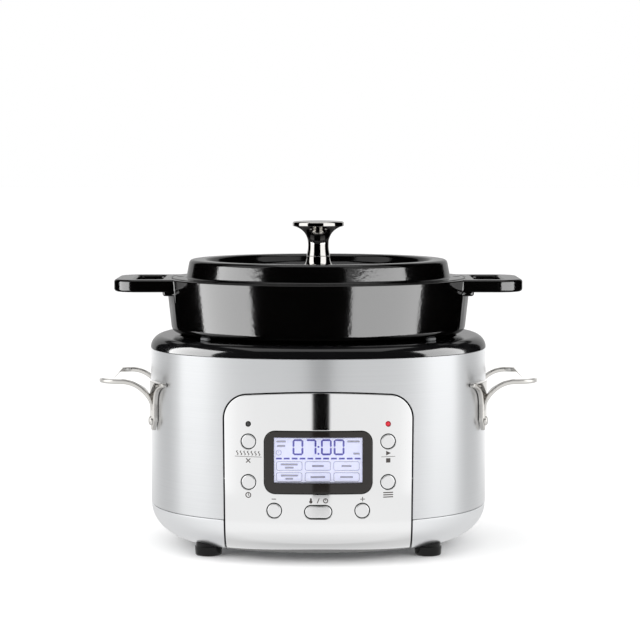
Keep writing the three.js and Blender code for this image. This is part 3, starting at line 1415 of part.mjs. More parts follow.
function add(name, solid, finish) {
  const mesh = new THREE.Mesh(geometryOf(solid), new THREE.MeshStandardMaterial(finish));
  mesh.name = name;
  oven.add(mesh);
}

function addBase() {
  add("outer_shell", outerShell(), FINISH.brushedSteel);
  add("lower_skirt", lowerSkirt(), FINISH.satinSilver);
  add("control_fascia", controlFascia(), FINISH.polishedSteel);
  add("top_rim", topRim(), FINISH.blackPlastic);
  add("inner_liner", innerLiner(), FINISH.zincSteel);
  add("heat_shield", heatShield(), FINISH.zincSteel);
  add("base_plate", basePlate(), FINISH.zincSteel);
  for (const [side, sx] of [["left", -1], ["right", 1]]) {
    for (const [end, sy] of [["front", -1], ["rear", 1]]) {
      add(`pot_pad_${side}_${end}`, potPad(sx, sy), FINISH.greySilicone);
      add(`foot_${side}_${end}`, foot(sx * FOOT_X, sy * FOOT_Y), FINISH.blackRubber);
      add(`foot_screw_${side}_${end}`, footScrew(sx * FOOT_X, sy * FOOT_Y), FINISH.zincSteel);
    }
  }
  add("handle_left", handleAt(true), FINISH.polishedSteel);
  add("handle_right", handleAt(false), FINISH.polishedSteel);
  for (const [place, at] of boltPlaces()) {
    add(`handle_bolt_${place}`, handleBolt(at), FINISH.polishedSteel);
    add(`handle_nut_${place}`, handleNut(at), FINISH.zincSteel);
  }
  add("power_inlet", powerInlet(), FINISH.blackPlastic);
}

function addControls() {
  add("display_bezel", displayBezel(), FINISH.displayDark);
  add("display_window", displayWindow(), FINISH.displayGlass);
  add("lcd_panel", lcdPanel(), FINISH.displayLit);
  add("control_board", controlBoard(), FINISH.boardGreen);
  add("power_board", powerBoard(), FINISH.boardGreen);
  add("lamp_left", lamp(-1), FINISH.lampDark);
  add("lamp_right", lamp(1), FINISH.lampRed);
  for (const [name, x, z] of BUTTONS) {
    add(name, button(name, x, z), FINISH.buttonSilver);
  }
}

function addHeater() {
  add("heater_plate", heaterPlate(), FINISH.castAluminium);
  add("heating_element", heatingElement(), FINISH.zincSteel);
  add("temperature_sensor", temperatureSensor(), FINISH.castAluminium);
  add("sensor_spring", sensorSpring(), FINISH.zincSteel);
  add("sensor_bracket", sensorBracket(), FINISH.zincSteel);
  add("thermal_fuse", thermalFuse(), FINISH.brass);
}

function addPot() {
  add("pot", pot(), FINISH.blackEnamel);
  add("lid", lid(), FINISH.blackEnamel);
  add("knob_collar", knobCollar(), FINISH.polishedSteel);
  add("lid_knob", lidKnob(), FINISH.polishedSteel);
  add("knob_screw", knobScrew(), FINISH.zincSteel);
  add("knob_washer", knobWasher(), FINISH.zincSteel);
}

addBase();
addControls();
addHeater();
addPot();

export default oven;
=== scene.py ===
"""Looks of the electric dutch oven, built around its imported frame.

Sizes are in millimetres, in the frame's own axes: +X to the right, -Y towards the user, +Z up.
A mesh becomes metres when its object is made, and every object stays at the origin.
"""

import json
import logging
import math
from collections.abc import Callable, Sequence
from dataclasses import dataclass, field
from enum import Enum

import bpy
import numpy as np
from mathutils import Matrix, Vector
from mathutils.geometry import delaunay_2d_cdt

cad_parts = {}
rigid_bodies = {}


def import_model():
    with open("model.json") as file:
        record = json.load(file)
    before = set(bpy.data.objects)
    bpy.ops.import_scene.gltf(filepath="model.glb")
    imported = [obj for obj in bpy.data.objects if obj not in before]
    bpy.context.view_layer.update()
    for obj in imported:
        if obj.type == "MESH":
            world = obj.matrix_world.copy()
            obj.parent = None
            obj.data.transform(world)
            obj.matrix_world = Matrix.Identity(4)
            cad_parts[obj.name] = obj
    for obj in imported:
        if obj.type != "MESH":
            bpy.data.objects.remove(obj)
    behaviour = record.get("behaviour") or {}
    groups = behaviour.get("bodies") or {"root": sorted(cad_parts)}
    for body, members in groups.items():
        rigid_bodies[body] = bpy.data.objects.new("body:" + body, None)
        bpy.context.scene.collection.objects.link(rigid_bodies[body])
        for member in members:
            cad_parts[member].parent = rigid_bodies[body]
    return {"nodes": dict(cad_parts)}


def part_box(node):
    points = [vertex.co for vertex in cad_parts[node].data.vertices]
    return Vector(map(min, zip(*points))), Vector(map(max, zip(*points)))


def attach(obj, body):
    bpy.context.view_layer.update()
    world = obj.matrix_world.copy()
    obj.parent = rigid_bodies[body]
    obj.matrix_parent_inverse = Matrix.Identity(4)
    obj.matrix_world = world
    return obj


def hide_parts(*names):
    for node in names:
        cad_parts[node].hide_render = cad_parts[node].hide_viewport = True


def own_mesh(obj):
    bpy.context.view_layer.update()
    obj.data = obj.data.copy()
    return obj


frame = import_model()

LOG = logging.getLogger("dutch_oven")
MM = 0.001
TAU = 2 * math.pi
WRAP = "Wrap"
QUARTER_TURN = 0.25

Pair = tuple[float, float]
Triple = tuple[float, float, float]
Surface = Callable[[np.ndarray], np.ndarray]


# Shapes


@dataclass
class Shape:
    """A mesh in millimetres.

    Args:
        points: One row of X, Y and Z for each vertex.
        faces: The vertex numbers of each face, counter-clockwise from outside.
        corners: A normal for each face corner in the order of the faces, where it is known.
        wrap: A flat place for each face corner, for patterns that follow the surface.
    """

    points: np.ndarray
    faces: list[tuple[int, ...]]
    corners: np.ndarray | None = None
    wrap: np.ndarray | None = None

    def moved(self, x: float = 0.0, y: float = 0.0, z: float = 0.0) -> "Shape":
        """Returns this shape at another place."""
        return Shape(self.points + np.array([x, y, z]), self.faces, self.corners, self.wrap)

    def turned(self, angle: float) -> "Shape":
        """Returns this shape turned about Z by an angle in radians."""
        c, s = math.cos(angle), math.sin(angle)
        turn = np.array([[c, -s, 0], [s, c, 0], [0, 0, 1]])
        corners = None if self.corners is None else self.corners @ turn.T
        return Shape(self.points @ turn.T, self.faces, corners, self.wrap)

    def volume(self) -> float:
        """Returns the signed volume, which is positive where the faces point outwards."""
        total = 0.0
        p = self.points
        for face in self.faces:
            for i in range(1, len(face) - 1):
                total += float(np.dot(p[face[0]], np.cross(p[face[i]], p[face[i + 1]])))
        return total / 6

    def outward(self) -> "Shape":
        """Returns this shape with its faces pointing outwards."""
        if self.volume() >= 0:
            return self
        return Shape(self.points, [tuple(reversed(f)) for f in self.faces])

    def welded(self) -> "Shape":
        """Returns this shape with the vertices that lie in one place made one."""
        _, first, which = np.unique(np.round(self.points, 5), axis=0, return_index=True, return_inverse=True)
        which = which.ravel()
        faces = [tuple(int(which[i]) for i in face) for face in self.faces]
        return Shape(self.points[first], faces, self.corners, self.wrap)


def merge(shapes: Sequence[Shape]) -> Shape:
    """Puts shapes side by side in one.

    Args:
        shapes: Shapes that either all know their corner normals or all don't.

    Returns:
        One shape that holds them all.
    """
    points, faces, corners, wraps = [], [], [], []
    start = 0
    for shape in shapes:
        points.append(shape.points)
        faces += [tuple(i + start for i in face) for face in shape.faces]
        if shape.corners is not None:
            corners.append(shape.corners)
        wraps.append(np.zeros((sum(map(len, shape.faces)), 2)) if shape.wrap is None else shape.wrap)
        start += len(shape.points)
    known = np.concatenate(corners) if len(corners) == len(shapes) else None
    return Shape(np.concatenate(points), faces, known, np.concatenate(wraps))


def arc(centre: Sequence[float], radius: float, start: float, end: float, steps: int) -> list[Pair]:
    """Points of an arc in a plane.

    Args:
        centre: Its centre.
        radius: Its radius.
        start: Angle of the first point, in degrees.
        end: Angle of the last point, in degrees.
        steps: How many stretches it has.

    Returns:
        The points, both ends included.
    """
    angles = np.radians(np.linspace(start, end, steps + 1))
    return [(centre[0] + radius * math.cos(a), centre[1] + radius * math.sin(a)) for a in angles]


def rounded_rect(
    width: float, height: float, corner: float, steps: int = 10, x: float = 0.0, z: float = 0.0
) -> np.ndarray:
    """Outline of a rounded rectangle about a middle, counter-clockwise."""
    w, h = width / 2 - corner, height / 2 - corner
    loop = []
    for sx, sz, start in ((1, -1, -90), (1, 1, 0), (-1, 1, 90), (-1, -1, 180)):
        loop += arc((x + sx * w, z + sz * h), corner, start, start + 90, steps)
    found = np.array(loop)
    return found[np.linalg.norm(found - np.roll(found, 1, axis=0), axis=1) > 1e-6]


def circle(radius: float, x: float = 0.0, z: float = 0.0, steps: int = 48) -> np.ndarray:
    """Outline of a circle, counter-clockwise."""
    return np.array(arc((x, z), radius, 0, 360, steps)[:-1])


def bezier(a: Sequence[float], b: Sequence[float], c: Sequence[float], steps: int) -> list[Pair]:
    """Points of a quadratic curve from a to c that leans towards b."""
    found = []
    for t in np.linspace(0, 1, steps + 1):
        found.append(tuple((1 - t) ** 2 * np.array(a) + 2 * t * (1 - t) * np.array(b) + t * t * np.array(c)))
    return found


def fill_steps(loop: np.ndarray, step: float) -> np.ndarray:
    """Adds points along the straight stretches of a closed loop, so that none is longer than a step."""
    found = []
    for i, p in enumerate(loop):
        q = loop[(i + 1) % len(loop)]
        count = max(1, math.ceil(float(np.linalg.norm(q - p)) / step - 1e-6))
        found += [p + (q - p) * k / count for k in range(count)]
    return np.array(found)


def filleted(corners: Sequence[Triple], steps: int = 5) -> list[Pair]:
    """Rounds the corners of an open profile.

    Args:
        corners: Radius from the axis, height and fillet of each corner, in order.
        steps: How many stretches each fillet has.

    Returns:
        The profile's points.
    """
    found: list[Pair] = []
    for i, (r, z, fillet) in enumerate(corners):
        here = np.array([r, z], float)
        if fillet <= 0 or i in (0, len(corners) - 1):
            found.append((r, z))
            continue
        before = np.array(corners[i - 1][:2], float) - here
        after = np.array(corners[i + 1][:2], float) - here
        reach = min(fillet, 0.49 * float(np.linalg.norm(before)), 0.49 * float(np.linalg.norm(after)))
        start = here + before / np.linalg.norm(before) * reach
        end = here + after / np.linalg.norm(after) * reach
        found += bezier(start, here, end, steps)
    return found


def lathe(profile: Sequence[Pair], segments: int = 128) -> Shape:
    """Revolves a profile about Z.

    Args:
        profile: Radius and height of each point. It closes on itself unless it ends on the axis.
        segments: How many stretches go round.

    Returns:
        A closed shape with its faces outwards.
    """
    points: list[Triple] = []
    rings: list[list[int]] = []
    angles = [TAU * i / segments for i in range(segments)]
    for r, z in profile:
        if r < 1e-6:
            rings.append([len(points)])
            points.append((0.0, 0.0, z))
        else:
            rings.append(list(range(len(points), len(points) + segments)))
            points += [(r * math.cos(a), r * math.sin(a), z) for a in angles]
    if len(rings[0]) > 1 and len(rings[-1]) > 1:
        rings.append(rings[0])
    faces: list[tuple[int, ...]] = []
    for low, high in zip(rings, rings[1:]):
        for i in range(segments):
            j = (i + 1) % segments
            if len(low) == 1 and len(high) == 1:
                continue
            if len(low) == 1:
                faces.append((low[0], high[j], high[i]))
            elif len(high) == 1:
                faces.append((low[i], low[j], high[0]))
            else:
                faces.append((low[i], low[j], high[j], high[i]))
    return Shape(np.array(points, float), faces).outward()


def sweep(path: np.ndarray, side: np.ndarray, up: np.ndarray, section: np.ndarray) -> Shape:
    """Carries a section along a path, with closed ends.

    Args:
        path: Points of the path.
        side: Direction of the section's first axis at each point.
        up: Direction of the section's second axis at each point.
        section: The section at each point, as rows of places on the two axes.

    Returns:
        A closed shape with its faces outwards.
    """
    count, sides = len(path), section.shape[1]
    points = path[:, None, :] + section[:, :, :1] * side[:, None, :] + section[:, :, 1:] * up[:, None, :]
    faces: list[tuple[int, ...]] = []
    for k in range(count - 1):
        for i in range(sides):
            j = (i + 1) % sides
            faces.append((k * sides + i, k * sides + j, (k + 1) * sides + j, (k + 1) * sides + i))
    faces.append(tuple(reversed(range(sides))))
    faces.append(tuple(range((count - 1) * sides, count * sides)))
    return Shape(points.reshape(-1, 3), faces).outward()


def inside_loops(places: np.ndarray, loops: Sequence[np.ndarray]) -> np.ndarray:
    """Tells which places lie inside an odd number of loops."""
    inside = np.zeros(len(places), bool)
    for loop in loops:
        a, b = loop, np.roll(loop, -1, axis=0)
        for p, q in zip(a, b):
            crosses = (p[1] > places[:, 1]) != (q[1] > places[:, 1])
            if crosses.any():
                x = p[0] + (places[:, 1] - p[1]) * (q[0] - p[0]) / ((q[1] - p[1]) or 1e-12)
                inside ^= crosses & (places[:, 0] < x)
    return inside


def gap_to_loops(places: np.ndarray, loops: Sequence[np.ndarray]) -> np.ndarray:
    """Distance from each place to the nearest stretch of any loop."""
    found = np.full(len(places), np.inf)
    for loop in loops:
        for p, q in zip(loop, np.roll(loop, -1, axis=0)):
            way = q - p
            share = np.clip((places - p) @ way / max(float(way @ way), 1e-12), 0, 1)
            found = np.minimum(found, np.linalg.norm(places - p - share[:, None] * way, axis=1))
    return found


def area_of(loop: np.ndarray) -> float:
    """Signed area of a loop, positive where it runs counter-clockwise."""
    x, y = loop[:, 0], loop[:, 1]
    return float(np.sum(x * np.roll(y, -1) - y * np.roll(x, -1)) / 2)


@dataclass
class Panel:
    """A sheet with thickness on a curved surface, with rounded edges and holes.

    Args:
        surface: Gives the point in space for a flat place.
        outline: The sheet's outline, in flat places.
        holes: Outlines of its holes.
        thickness: How far it goes in from the surface.
        edge: Radius of its front edges.
        back_edge: Radius of its back edges.
        spacing: Distance between the points inside its outline.
        period: Length of the surface round the object, where the sheet closes on itself.
        steps: How many stretches a rounded edge has.
    """

    surface: Surface
    outline: np.ndarray
    thickness: float
    holes: Sequence[np.ndarray] = ()
    edge: float = 0.4
    back_edge: float = 0.0
    spacing: float = 4.0
    period: float = 0.0
    steps: int = 4

    def normals(self, places: np.ndarray) -> tuple[np.ndarray, np.ndarray, np.ndarray]:
        """Returns the outward normal and the two tangents at flat places."""
        h = 0.02
        du = self.surface(places + [h, 0]) - self.surface(places - [h, 0])
        dv = self.surface(places + [0, h]) - self.surface(places - [0, h])
        normal = np.cross(du, dv)
        normal /= np.linalg.norm(normal, axis=1, keepdims=True)
        return normal, du / (2 * h), dv / (2 * h)

    def on_join(self, loop: np.ndarray) -> np.ndarray:
        """Tells which points of a loop lie where the sheet closes on itself."""
        if not self.period:
            return np.zeros(len(loop), bool)
        return (np.abs(loop[:, 0]) < 1e-6) | (np.abs(loop[:, 0] - self.period) < 1e-6)

    def leaning(self, loop: np.ndarray) -> np.ndarray:
        """Returns the direction into the material at each point of a loop, stretched at its corners."""
        join = self.on_join(loop)
        step = np.roll(loop, -1, axis=0) - loop
        length = np.linalg.norm(step, axis=1, keepdims=True)
        left = np.stack([-step[:, 1], step[:, 0]], axis=1) / np.maximum(length, 1e-9)
        held = join & np.roll(join, -1)
        left[held] = 0
        both = left + np.roll(left, 1, axis=0)
        both /= np.maximum(np.linalg.norm(both, axis=1, keepdims=True), 1e-9)
        other = np.where(np.linalg.norm(left, axis=1, keepdims=True) > 0, left, np.roll(left, 1, axis=0))
        share = np.clip(np.sum(both * other, axis=1, keepdims=True), 0.5, 1)
        both = both / share
        both[join, 0] = 0
        return both

    def skin(self, loops: list[np.ndarray]) -> tuple[np.ndarray, list[tuple[int, ...]]]:
        """Fills flat loops with triangles.

        Args:
            loops: The outline and the holes.

        Returns:
            The flat places, which start with the loops' own points, and the triangles.
        """
        edges, rim = [], np.concatenate(loops)
        start = 0
        for loop in loops:
            edges += [(start + i, start + (i + 1) % len(loop)) for i in range(len(loop))]
            start += len(loop)
        low, high = rim.min(axis=0), rim.max(axis=0)
        counts = np.maximum(1, np.ceil((high - low) / self.spacing)).astype(int)
        us = np.linspace(low[0], high[0], counts[0] + 1)
        vs = np.linspace(low[1], high[1], counts[1] + 1)
        grid = np.stack(np.meshgrid(us, vs), axis=-1).reshape(-1, 2)
        grid = grid[inside_loops(grid, loops) & (gap_to_loops(grid, loops) > 0.4 * self.spacing)]
        places = np.concatenate([rim, grid])
        found = delaunay_2d_cdt([Vector(p) for p in places], edges, [], 1, 1e-7)
        new, _, triangles, origin, _, _ = found
        back = [ids[0] if ids else -1 for ids in origin]
        if -1 in back:
            raise ValueError(f"an outline of a panel crosses itself at {tuple(new[back.index(-1)])}")
        flat = np.array([[back[i] for i in t] for t in triangles])
        keep = inside_loops(places[flat].mean(axis=1), loops)
        return places, [tuple(t) for t in flat[keep]]

    def edge_rows(self) -> list[Triple]:
        """Returns the inset, the depth and the normal's angle of each row of points round an edge."""
        rows: list[Triple] = []
        for radius, deep in ((self.edge, False), (self.back_edge, True)):
            count = self.steps if radius > 0 else 0
            angles = [math.pi / 2 * k / count for k in range(count + 1)] if count else [math.pi / 2]
            part = []
            for angle in angles:
                inset, depth = radius * (1 - math.sin(angle)), radius * (1 - math.cos(angle))
                place = (self.thickness - depth, math.pi - angle) if deep else (depth, angle)
                part.append((inset, *place))
            rows += part[::-1] if deep else part
        return rows

    def build(self) -> Shape:
        """Returns the panel as a closed shape with a normal for each corner."""
        loops = [self.outline if area_of(self.outline) > 0 else self.outline[::-1]]
        loops += [h[::-1] if area_of(h) > 0 else h for h in self.holes]
        leans = [self.leaning(loop) for loop in loops]
        points: list[np.ndarray] = []
        flats: list[np.ndarray] = []
        faces: list[tuple[int, ...]] = []
        corners: list[np.ndarray] = []
        total = 0

        def put(places: np.ndarray, depth: float) -> tuple[int, np.ndarray, np.ndarray, np.ndarray]:
            nonlocal total
            normal, du, dv = self.normals(places)
            points.append(self.surface(places) - normal * depth)
            flats.append(places)
            start, total = total, total + len(places)
            return start, normal, du, dv

        skins = [self.skin([loop + lean * self.edge for loop, lean in zip(loops, leans)])] * 2
        if self.edge != self.back_edge:
            skins[1] = self.skin([loop + lean * self.back_edge for loop, lean in zip(loops, leans)])
        for (places, found), depth, way in zip(skins, (0.0, self.thickness), (1, -1)):
            start, normal, _, _ = put(places, depth)
            for face in found:
                faces.append(tuple(start + i for i in face[::way]))
                corners.append(way * normal[list(face[::way])])
        rows = self.edge_rows()
        for loop, lean in zip(loops, leans):
            rings = []
            for inset, depth, angle in rows:
                start, normal, du, dv = put(loop + lean * inset, depth)
                out = -(du * lean[:, :1] + dv * lean[:, 1:])
                out -= normal * np.sum(out * normal, axis=1, keepdims=True)
                out /= np.maximum(np.linalg.norm(out, axis=1, keepdims=True), 1e-9)
                rings.append((start, normal * math.cos(angle) + out * math.sin(angle)))
            held = self.on_join(loop)
            for (a, na), (b, nb) in zip(rings, rings[1:]):
                for i in range(len(loop)):
                    j = (i + 1) % len(loop)
                    if held[i] and held[j]:
                        continue
                    faces.append((a + i, b + i, b + j, a + j))
                    corners.append(np.array([na[i], nb[i], nb[j], na[j]]))
        which = [i for face in faces for i in face]
        wrap = np.concatenate(flats)[which]
        return Shape(np.concatenate(points), faces, np.concatenate(corners), wrap).welded()


def flat_plane(height: float) -> Surface:
    """A level surface whose flat places are X and Y."""
    return lambda p: np.column_stack([p[:, 0], p[:, 1], np.full(len(p), height)])


def upright_plane(y: float) -> Surface:
    """An upright surface that faces -Y, whose flat places are X and Z."""
    return lambda p: np.column_stack([p[:, 0], np.full(len(p), y), p[:, 1]])


def rear_plane(y: float) -> Surface:
    """An upright surface that faces +Y, whose flat places are -X and Z."""
    return lambda p: np.column_stack([-p[:, 0], np.full(len(p), y), p[:, 1]])


# Casing


@dataclass(frozen=True)
class Casing:
    """The outline of the powered base, which its wrap, skirt, fascia and handles follow."""

    half_width: float = 150.0
    half_depth: float = 144.0
    power: float = 2.3
    seam_z: float = 37.6
    rim_z: float = 176.0
    round_run: float = 38.0
    round_drop: float = 31.0
    round_length: float = 54.3
    samples: int = 8192

    def level(self, v: np.ndarray) -> tuple[np.ndarray, np.ndarray]:
        """Turns a distance up the wall into its inset and its height."""
        down = np.clip((self.seam_z - v) / self.round_length, 0, None)
        angle = np.minimum(down, 1) * math.pi / 2
        under = np.clip(down - 1, 0, None) * self.round_length
        inset = self.round_run * (1 - np.cos(angle)) + under
        z = np.where(v >= self.seam_z, v, self.seam_z - self.round_drop * np.sin(angle))
        return inset, z

    def across(self, x: np.ndarray, inset: np.ndarray | float) -> np.ndarray:
        """Distance of the wall from the middle plane at a place across the front."""
        share = np.clip(np.abs(x) / (self.half_width - inset), 0, 1)
        return (self.half_depth - inset) * (1 - share**self.power) ** (1 / self.power)

    def front(self, outset: float = 0.0) -> Surface:
        """The front wall, whose flat places are X and the distance up the wall."""

        def surface(p: np.ndarray) -> np.ndarray:
            inset, z = self.level(p[:, 1])
            return np.column_stack([p[:, 0], -self.across(p[:, 0], inset - outset), z])

        return surface

    def side(self, outset: float) -> Surface:
        """The right-hand wall above the seam, whose flat places are Y and Z."""

        def surface(p: np.ndarray) -> np.ndarray:
            a, b = self.half_width + outset, self.half_depth + outset
            share = np.clip(np.abs(p[:, 0]) / b, 0, 1)
            return np.column_stack([a * (1 - share**self.power) ** (1 / self.power), p[:, 0], p[:, 1]])

        return surface

    def table(self) -> tuple[np.ndarray, np.ndarray]:
        """Turns round the outline, and the distance walked to each."""
        turn = np.linspace(0, TAU, self.samples + 1)
        x, y = self.ring(turn, 0.0)
        step = np.hypot(np.diff(x), np.diff(y))
        return turn, np.concatenate([[0.0], np.cumsum(step)])

    def ring(self, turn: np.ndarray, inset: np.ndarray | float) -> tuple[np.ndarray, np.ndarray]:
        """X and Y of the outline at a turn round it, drawn in by an inset."""
        c, s = np.cos(turn), np.sin(turn)
        power = 2 / self.power
        x = (self.half_width - inset) * np.sign(c) * np.abs(c) ** power
        y = (self.half_depth - inset) * np.sign(s) * np.abs(s) ** power
        return x, y

    def around(self) -> tuple[Surface, float]:
        """The whole wall, whose flat places are the distance round it and up it, and its length round."""
        turn, walked = self.table()
        length = float(walked[-1])

        def surface(p: np.ndarray) -> np.ndarray:
            inset, z = self.level(p[:, 1])
            x, y = self.ring(np.interp(np.mod(p[:, 0], length), walked, turn), inset)
            return np.column_stack([x, y, z])

        return surface, length

    def walked_to(self, x: np.ndarray, v: np.ndarray) -> np.ndarray:
        """Distance round the outline to a place on its front at X."""
        turn, walked = self.table()
        inset, _ = self.level(v)
        share = np.clip(np.abs(x) / (self.half_width - inset), 0, 1)
        cosine = np.sign(x) * share ** (self.power / 2)
        return np.interp(TAU - np.arccos(cosine), turn, walked)

    def side_x(self, y: float) -> float:
        """X of the right-hand wall at Y."""
        return float(self.side(0.0)(np.array([[y, self.rim_z]]))[0, 0])


# Materials


class Tangent(Enum):
    """Which way the scratches of a finish run."""

    NONE = "none"
    ROUND = "round"


class Tree:
    """A node tree under construction."""

    def __init__(self, tree: bpy.types.NodeTree) -> None:
        """Takes the tree that the nodes are added to."""
        self.tree = tree

    def socket(self, name: str, kind: str, side: str = "INPUT") -> bpy.types.NodeTreeInterfaceSocket:
        """Adds a socket to the outside of a group."""
        return self.tree.interface.new_socket(name, in_out=side, socket_type=f"NodeSocket{kind}")

    def feed(self, socket: bpy.types.NodeSocket, value: object) -> None:
        """Gives a node's input a socket to join, or a value.

        Args:
            socket: The input.
            value: What it is given.
        """
        if isinstance(value, bpy.types.NodeSocket):
            self.tree.links.new(value, socket)
        else:
            socket.default_value = value

    def node(
        self, kind: str, sockets: dict[str | int, object] | None = None, **settings: object
    ) -> bpy.types.Node:
        """Adds a node.

        Args:
            kind: Its type.
            sockets: What each input is given, by its name or number.
            settings: Its properties.

        Returns:
            The node.
        """
        node = self.tree.nodes.new(kind)
        for key, value in settings.items():
            setattr(node, key, value)
        for key, value in (sockets or {}).items():
            self.feed(node.inputs[key], value)
        return node

    def maths(self, operation: str, a: object, b: object = 0.0, clamp: bool = False) -> bpy.types.NodeSocket:
        """Adds a sum of two sockets or numbers and returns its result."""
        return self.node("ShaderNodeMath", {0: a, 1: b}, operation=operation, use_clamp=clamp).outputs[0]


class Group(Tree):
    """A shader node group under construction."""

    def __init__(self, name: str, inputs: dict[str, float], outputs: dict[str, str]) -> None:
        """Makes the group's sockets.

        Args:
            name: The group's name.
            inputs: Its number inputs and their values; a Vector input is always added.
            outputs: Its outputs and their types.
        """
        super().__init__(bpy.data.node_groups.new(name, "ShaderNodeTree"))
        self.socket("Vector", "Vector")
        for key, value in inputs.items():
            self.socket(key, "Float").default_value = value
        for key, kind in outputs.items():
            self.socket(key, kind, "OUTPUT")
        self.given = self.tree.nodes.new("NodeGroupInput").outputs
        self.made = self.tree.nodes.new("NodeGroupOutput").inputs


def grain_group() -> bpy.types.NodeTree:
    """Long fine scratches: a mask of them, and a tone that they change."""
    inputs = {"Along": 6.0, "Across": 2200.0, "Depth": 0.5}
    group = Group("fine_scratches", inputs, {"Mask": "Float", "Tone": "Float"})
    along, across = group.given["Along"], group.given["Across"]
    scale = group.node("ShaderNodeCombineXYZ", {0: along, 1: across, 2: across})
    stretch = {0: group.given["Vector"], 1: scale.outputs[0]}
    place = group.node("ShaderNodeVectorMath", stretch, operation="MULTIPLY")
    noise = group.node("ShaderNodeTexNoise", {"Vector": place.outputs[0], "Scale": 1.0, "Detail": 3.0})
    group.feed(group.made["Mask"], noise.outputs["Fac"])
    deep = group.maths("MULTIPLY", group.maths("SUBTRACT", noise.outputs["Fac"], 0.5), group.given["Depth"])
    group.feed(group.made["Tone"], group.maths("ADD", deep, 1.0))
    return group.tree


def wander_group() -> bpy.types.NodeTree:
    """A value that wanders softly over a surface: handling marks, casting and moulding unevenness."""
    inputs = {"Size": 0.04, "Middle": 0.3, "Spread": 0.05}
    group = Group("soft_wander", inputs, {"Value": "Float", "Mask": "Float"})
    scale = group.maths("DIVIDE", 1.0, group.given["Size"])
    sockets = {"Vector": group.given["Vector"], "Scale": scale, "Detail": 4.0, "Roughness": 0.55}
    noise = group.node("ShaderNodeTexNoise", sockets).outputs["Fac"]
    spread = group.maths("MULTIPLY", group.maths("SUBTRACT", noise, 0.5), group.given["Spread"])
    twice = group.maths("MULTIPLY", spread, 2.0)
    group.feed(group.made["Value"], group.maths("ADD", twice, group.given["Middle"], clamp=True))
    group.feed(group.made["Mask"], noise)
    return group.tree


def ripple_group() -> bpy.types.NodeTree:
    """A gently rippled skin, as flowed enamel, lacquer or moulded rubber has."""
    group = Group("skin_ripple", {"Size": 0.004, "Height": 0.02}, {"Normal": "Vector"})
    scale = group.maths("DIVIDE", 1.0, group.given["Size"])
    sockets = {"Vector": group.given["Vector"], "Scale": scale, "Detail": 2.0}
    noise = group.node("ShaderNodeTexNoise", sockets).outputs["Fac"]
    sockets = {"Distance": MM, "Strength": group.given["Height"], "Height": noise}
    group.feed(group.made["Normal"], group.node("ShaderNodeBump", sockets).outputs["Normal"])
    return group.tree


def blank_material(name: str) -> tuple[bpy.types.Material, bpy.types.Node]:
    """Makes a material.

    Args:
        name: Its name.

    Returns:
        The material and its shader.
    """
    material = bpy.data.materials.new(name)
    material.use_nodes = True
    return material, material.node_tree.nodes["Principled BSDF"]


@dataclass(frozen=True)
class Finish:
    """One finish of the object's surfaces.

    Args:
        slot: The record's material slot that it is meant for; not used.
        color: Its colour, in linear light.
        other: The colour that it wanders towards.
        roughness: Its middle roughness.
        spread: How far the roughness wanders.
        patch: Size of the wandering, in metres.
        metallic: 1 for bare metal.
        ripple: Height share of its rippled skin.
        ripple_size: Size of the ripples, in metres.
        scratches: Which way its scratches run.
        scratch_depth: How much they change the tone.
        anisotropic: How far they stretch a highlight.
        specular: Specular level of a finish that isn't metal.
        transmission: 1 for clear glass.
        glow: Strength of its own light.
    """

    slot: str
    color: Triple
    other: Triple
    roughness: float
    spread: float = 0.04
    patch: float = 0.04
    metallic: float = 0.0
    ripple: float = 0.0
    ripple_size: float = 0.004
    scratches: Tangent = Tangent.NONE
    scratch_depth: float = 0.2
    anisotropic: float = 0.0
    specular: float = 0.5
    transmission: float = 0.0
    glow: float = 0.0


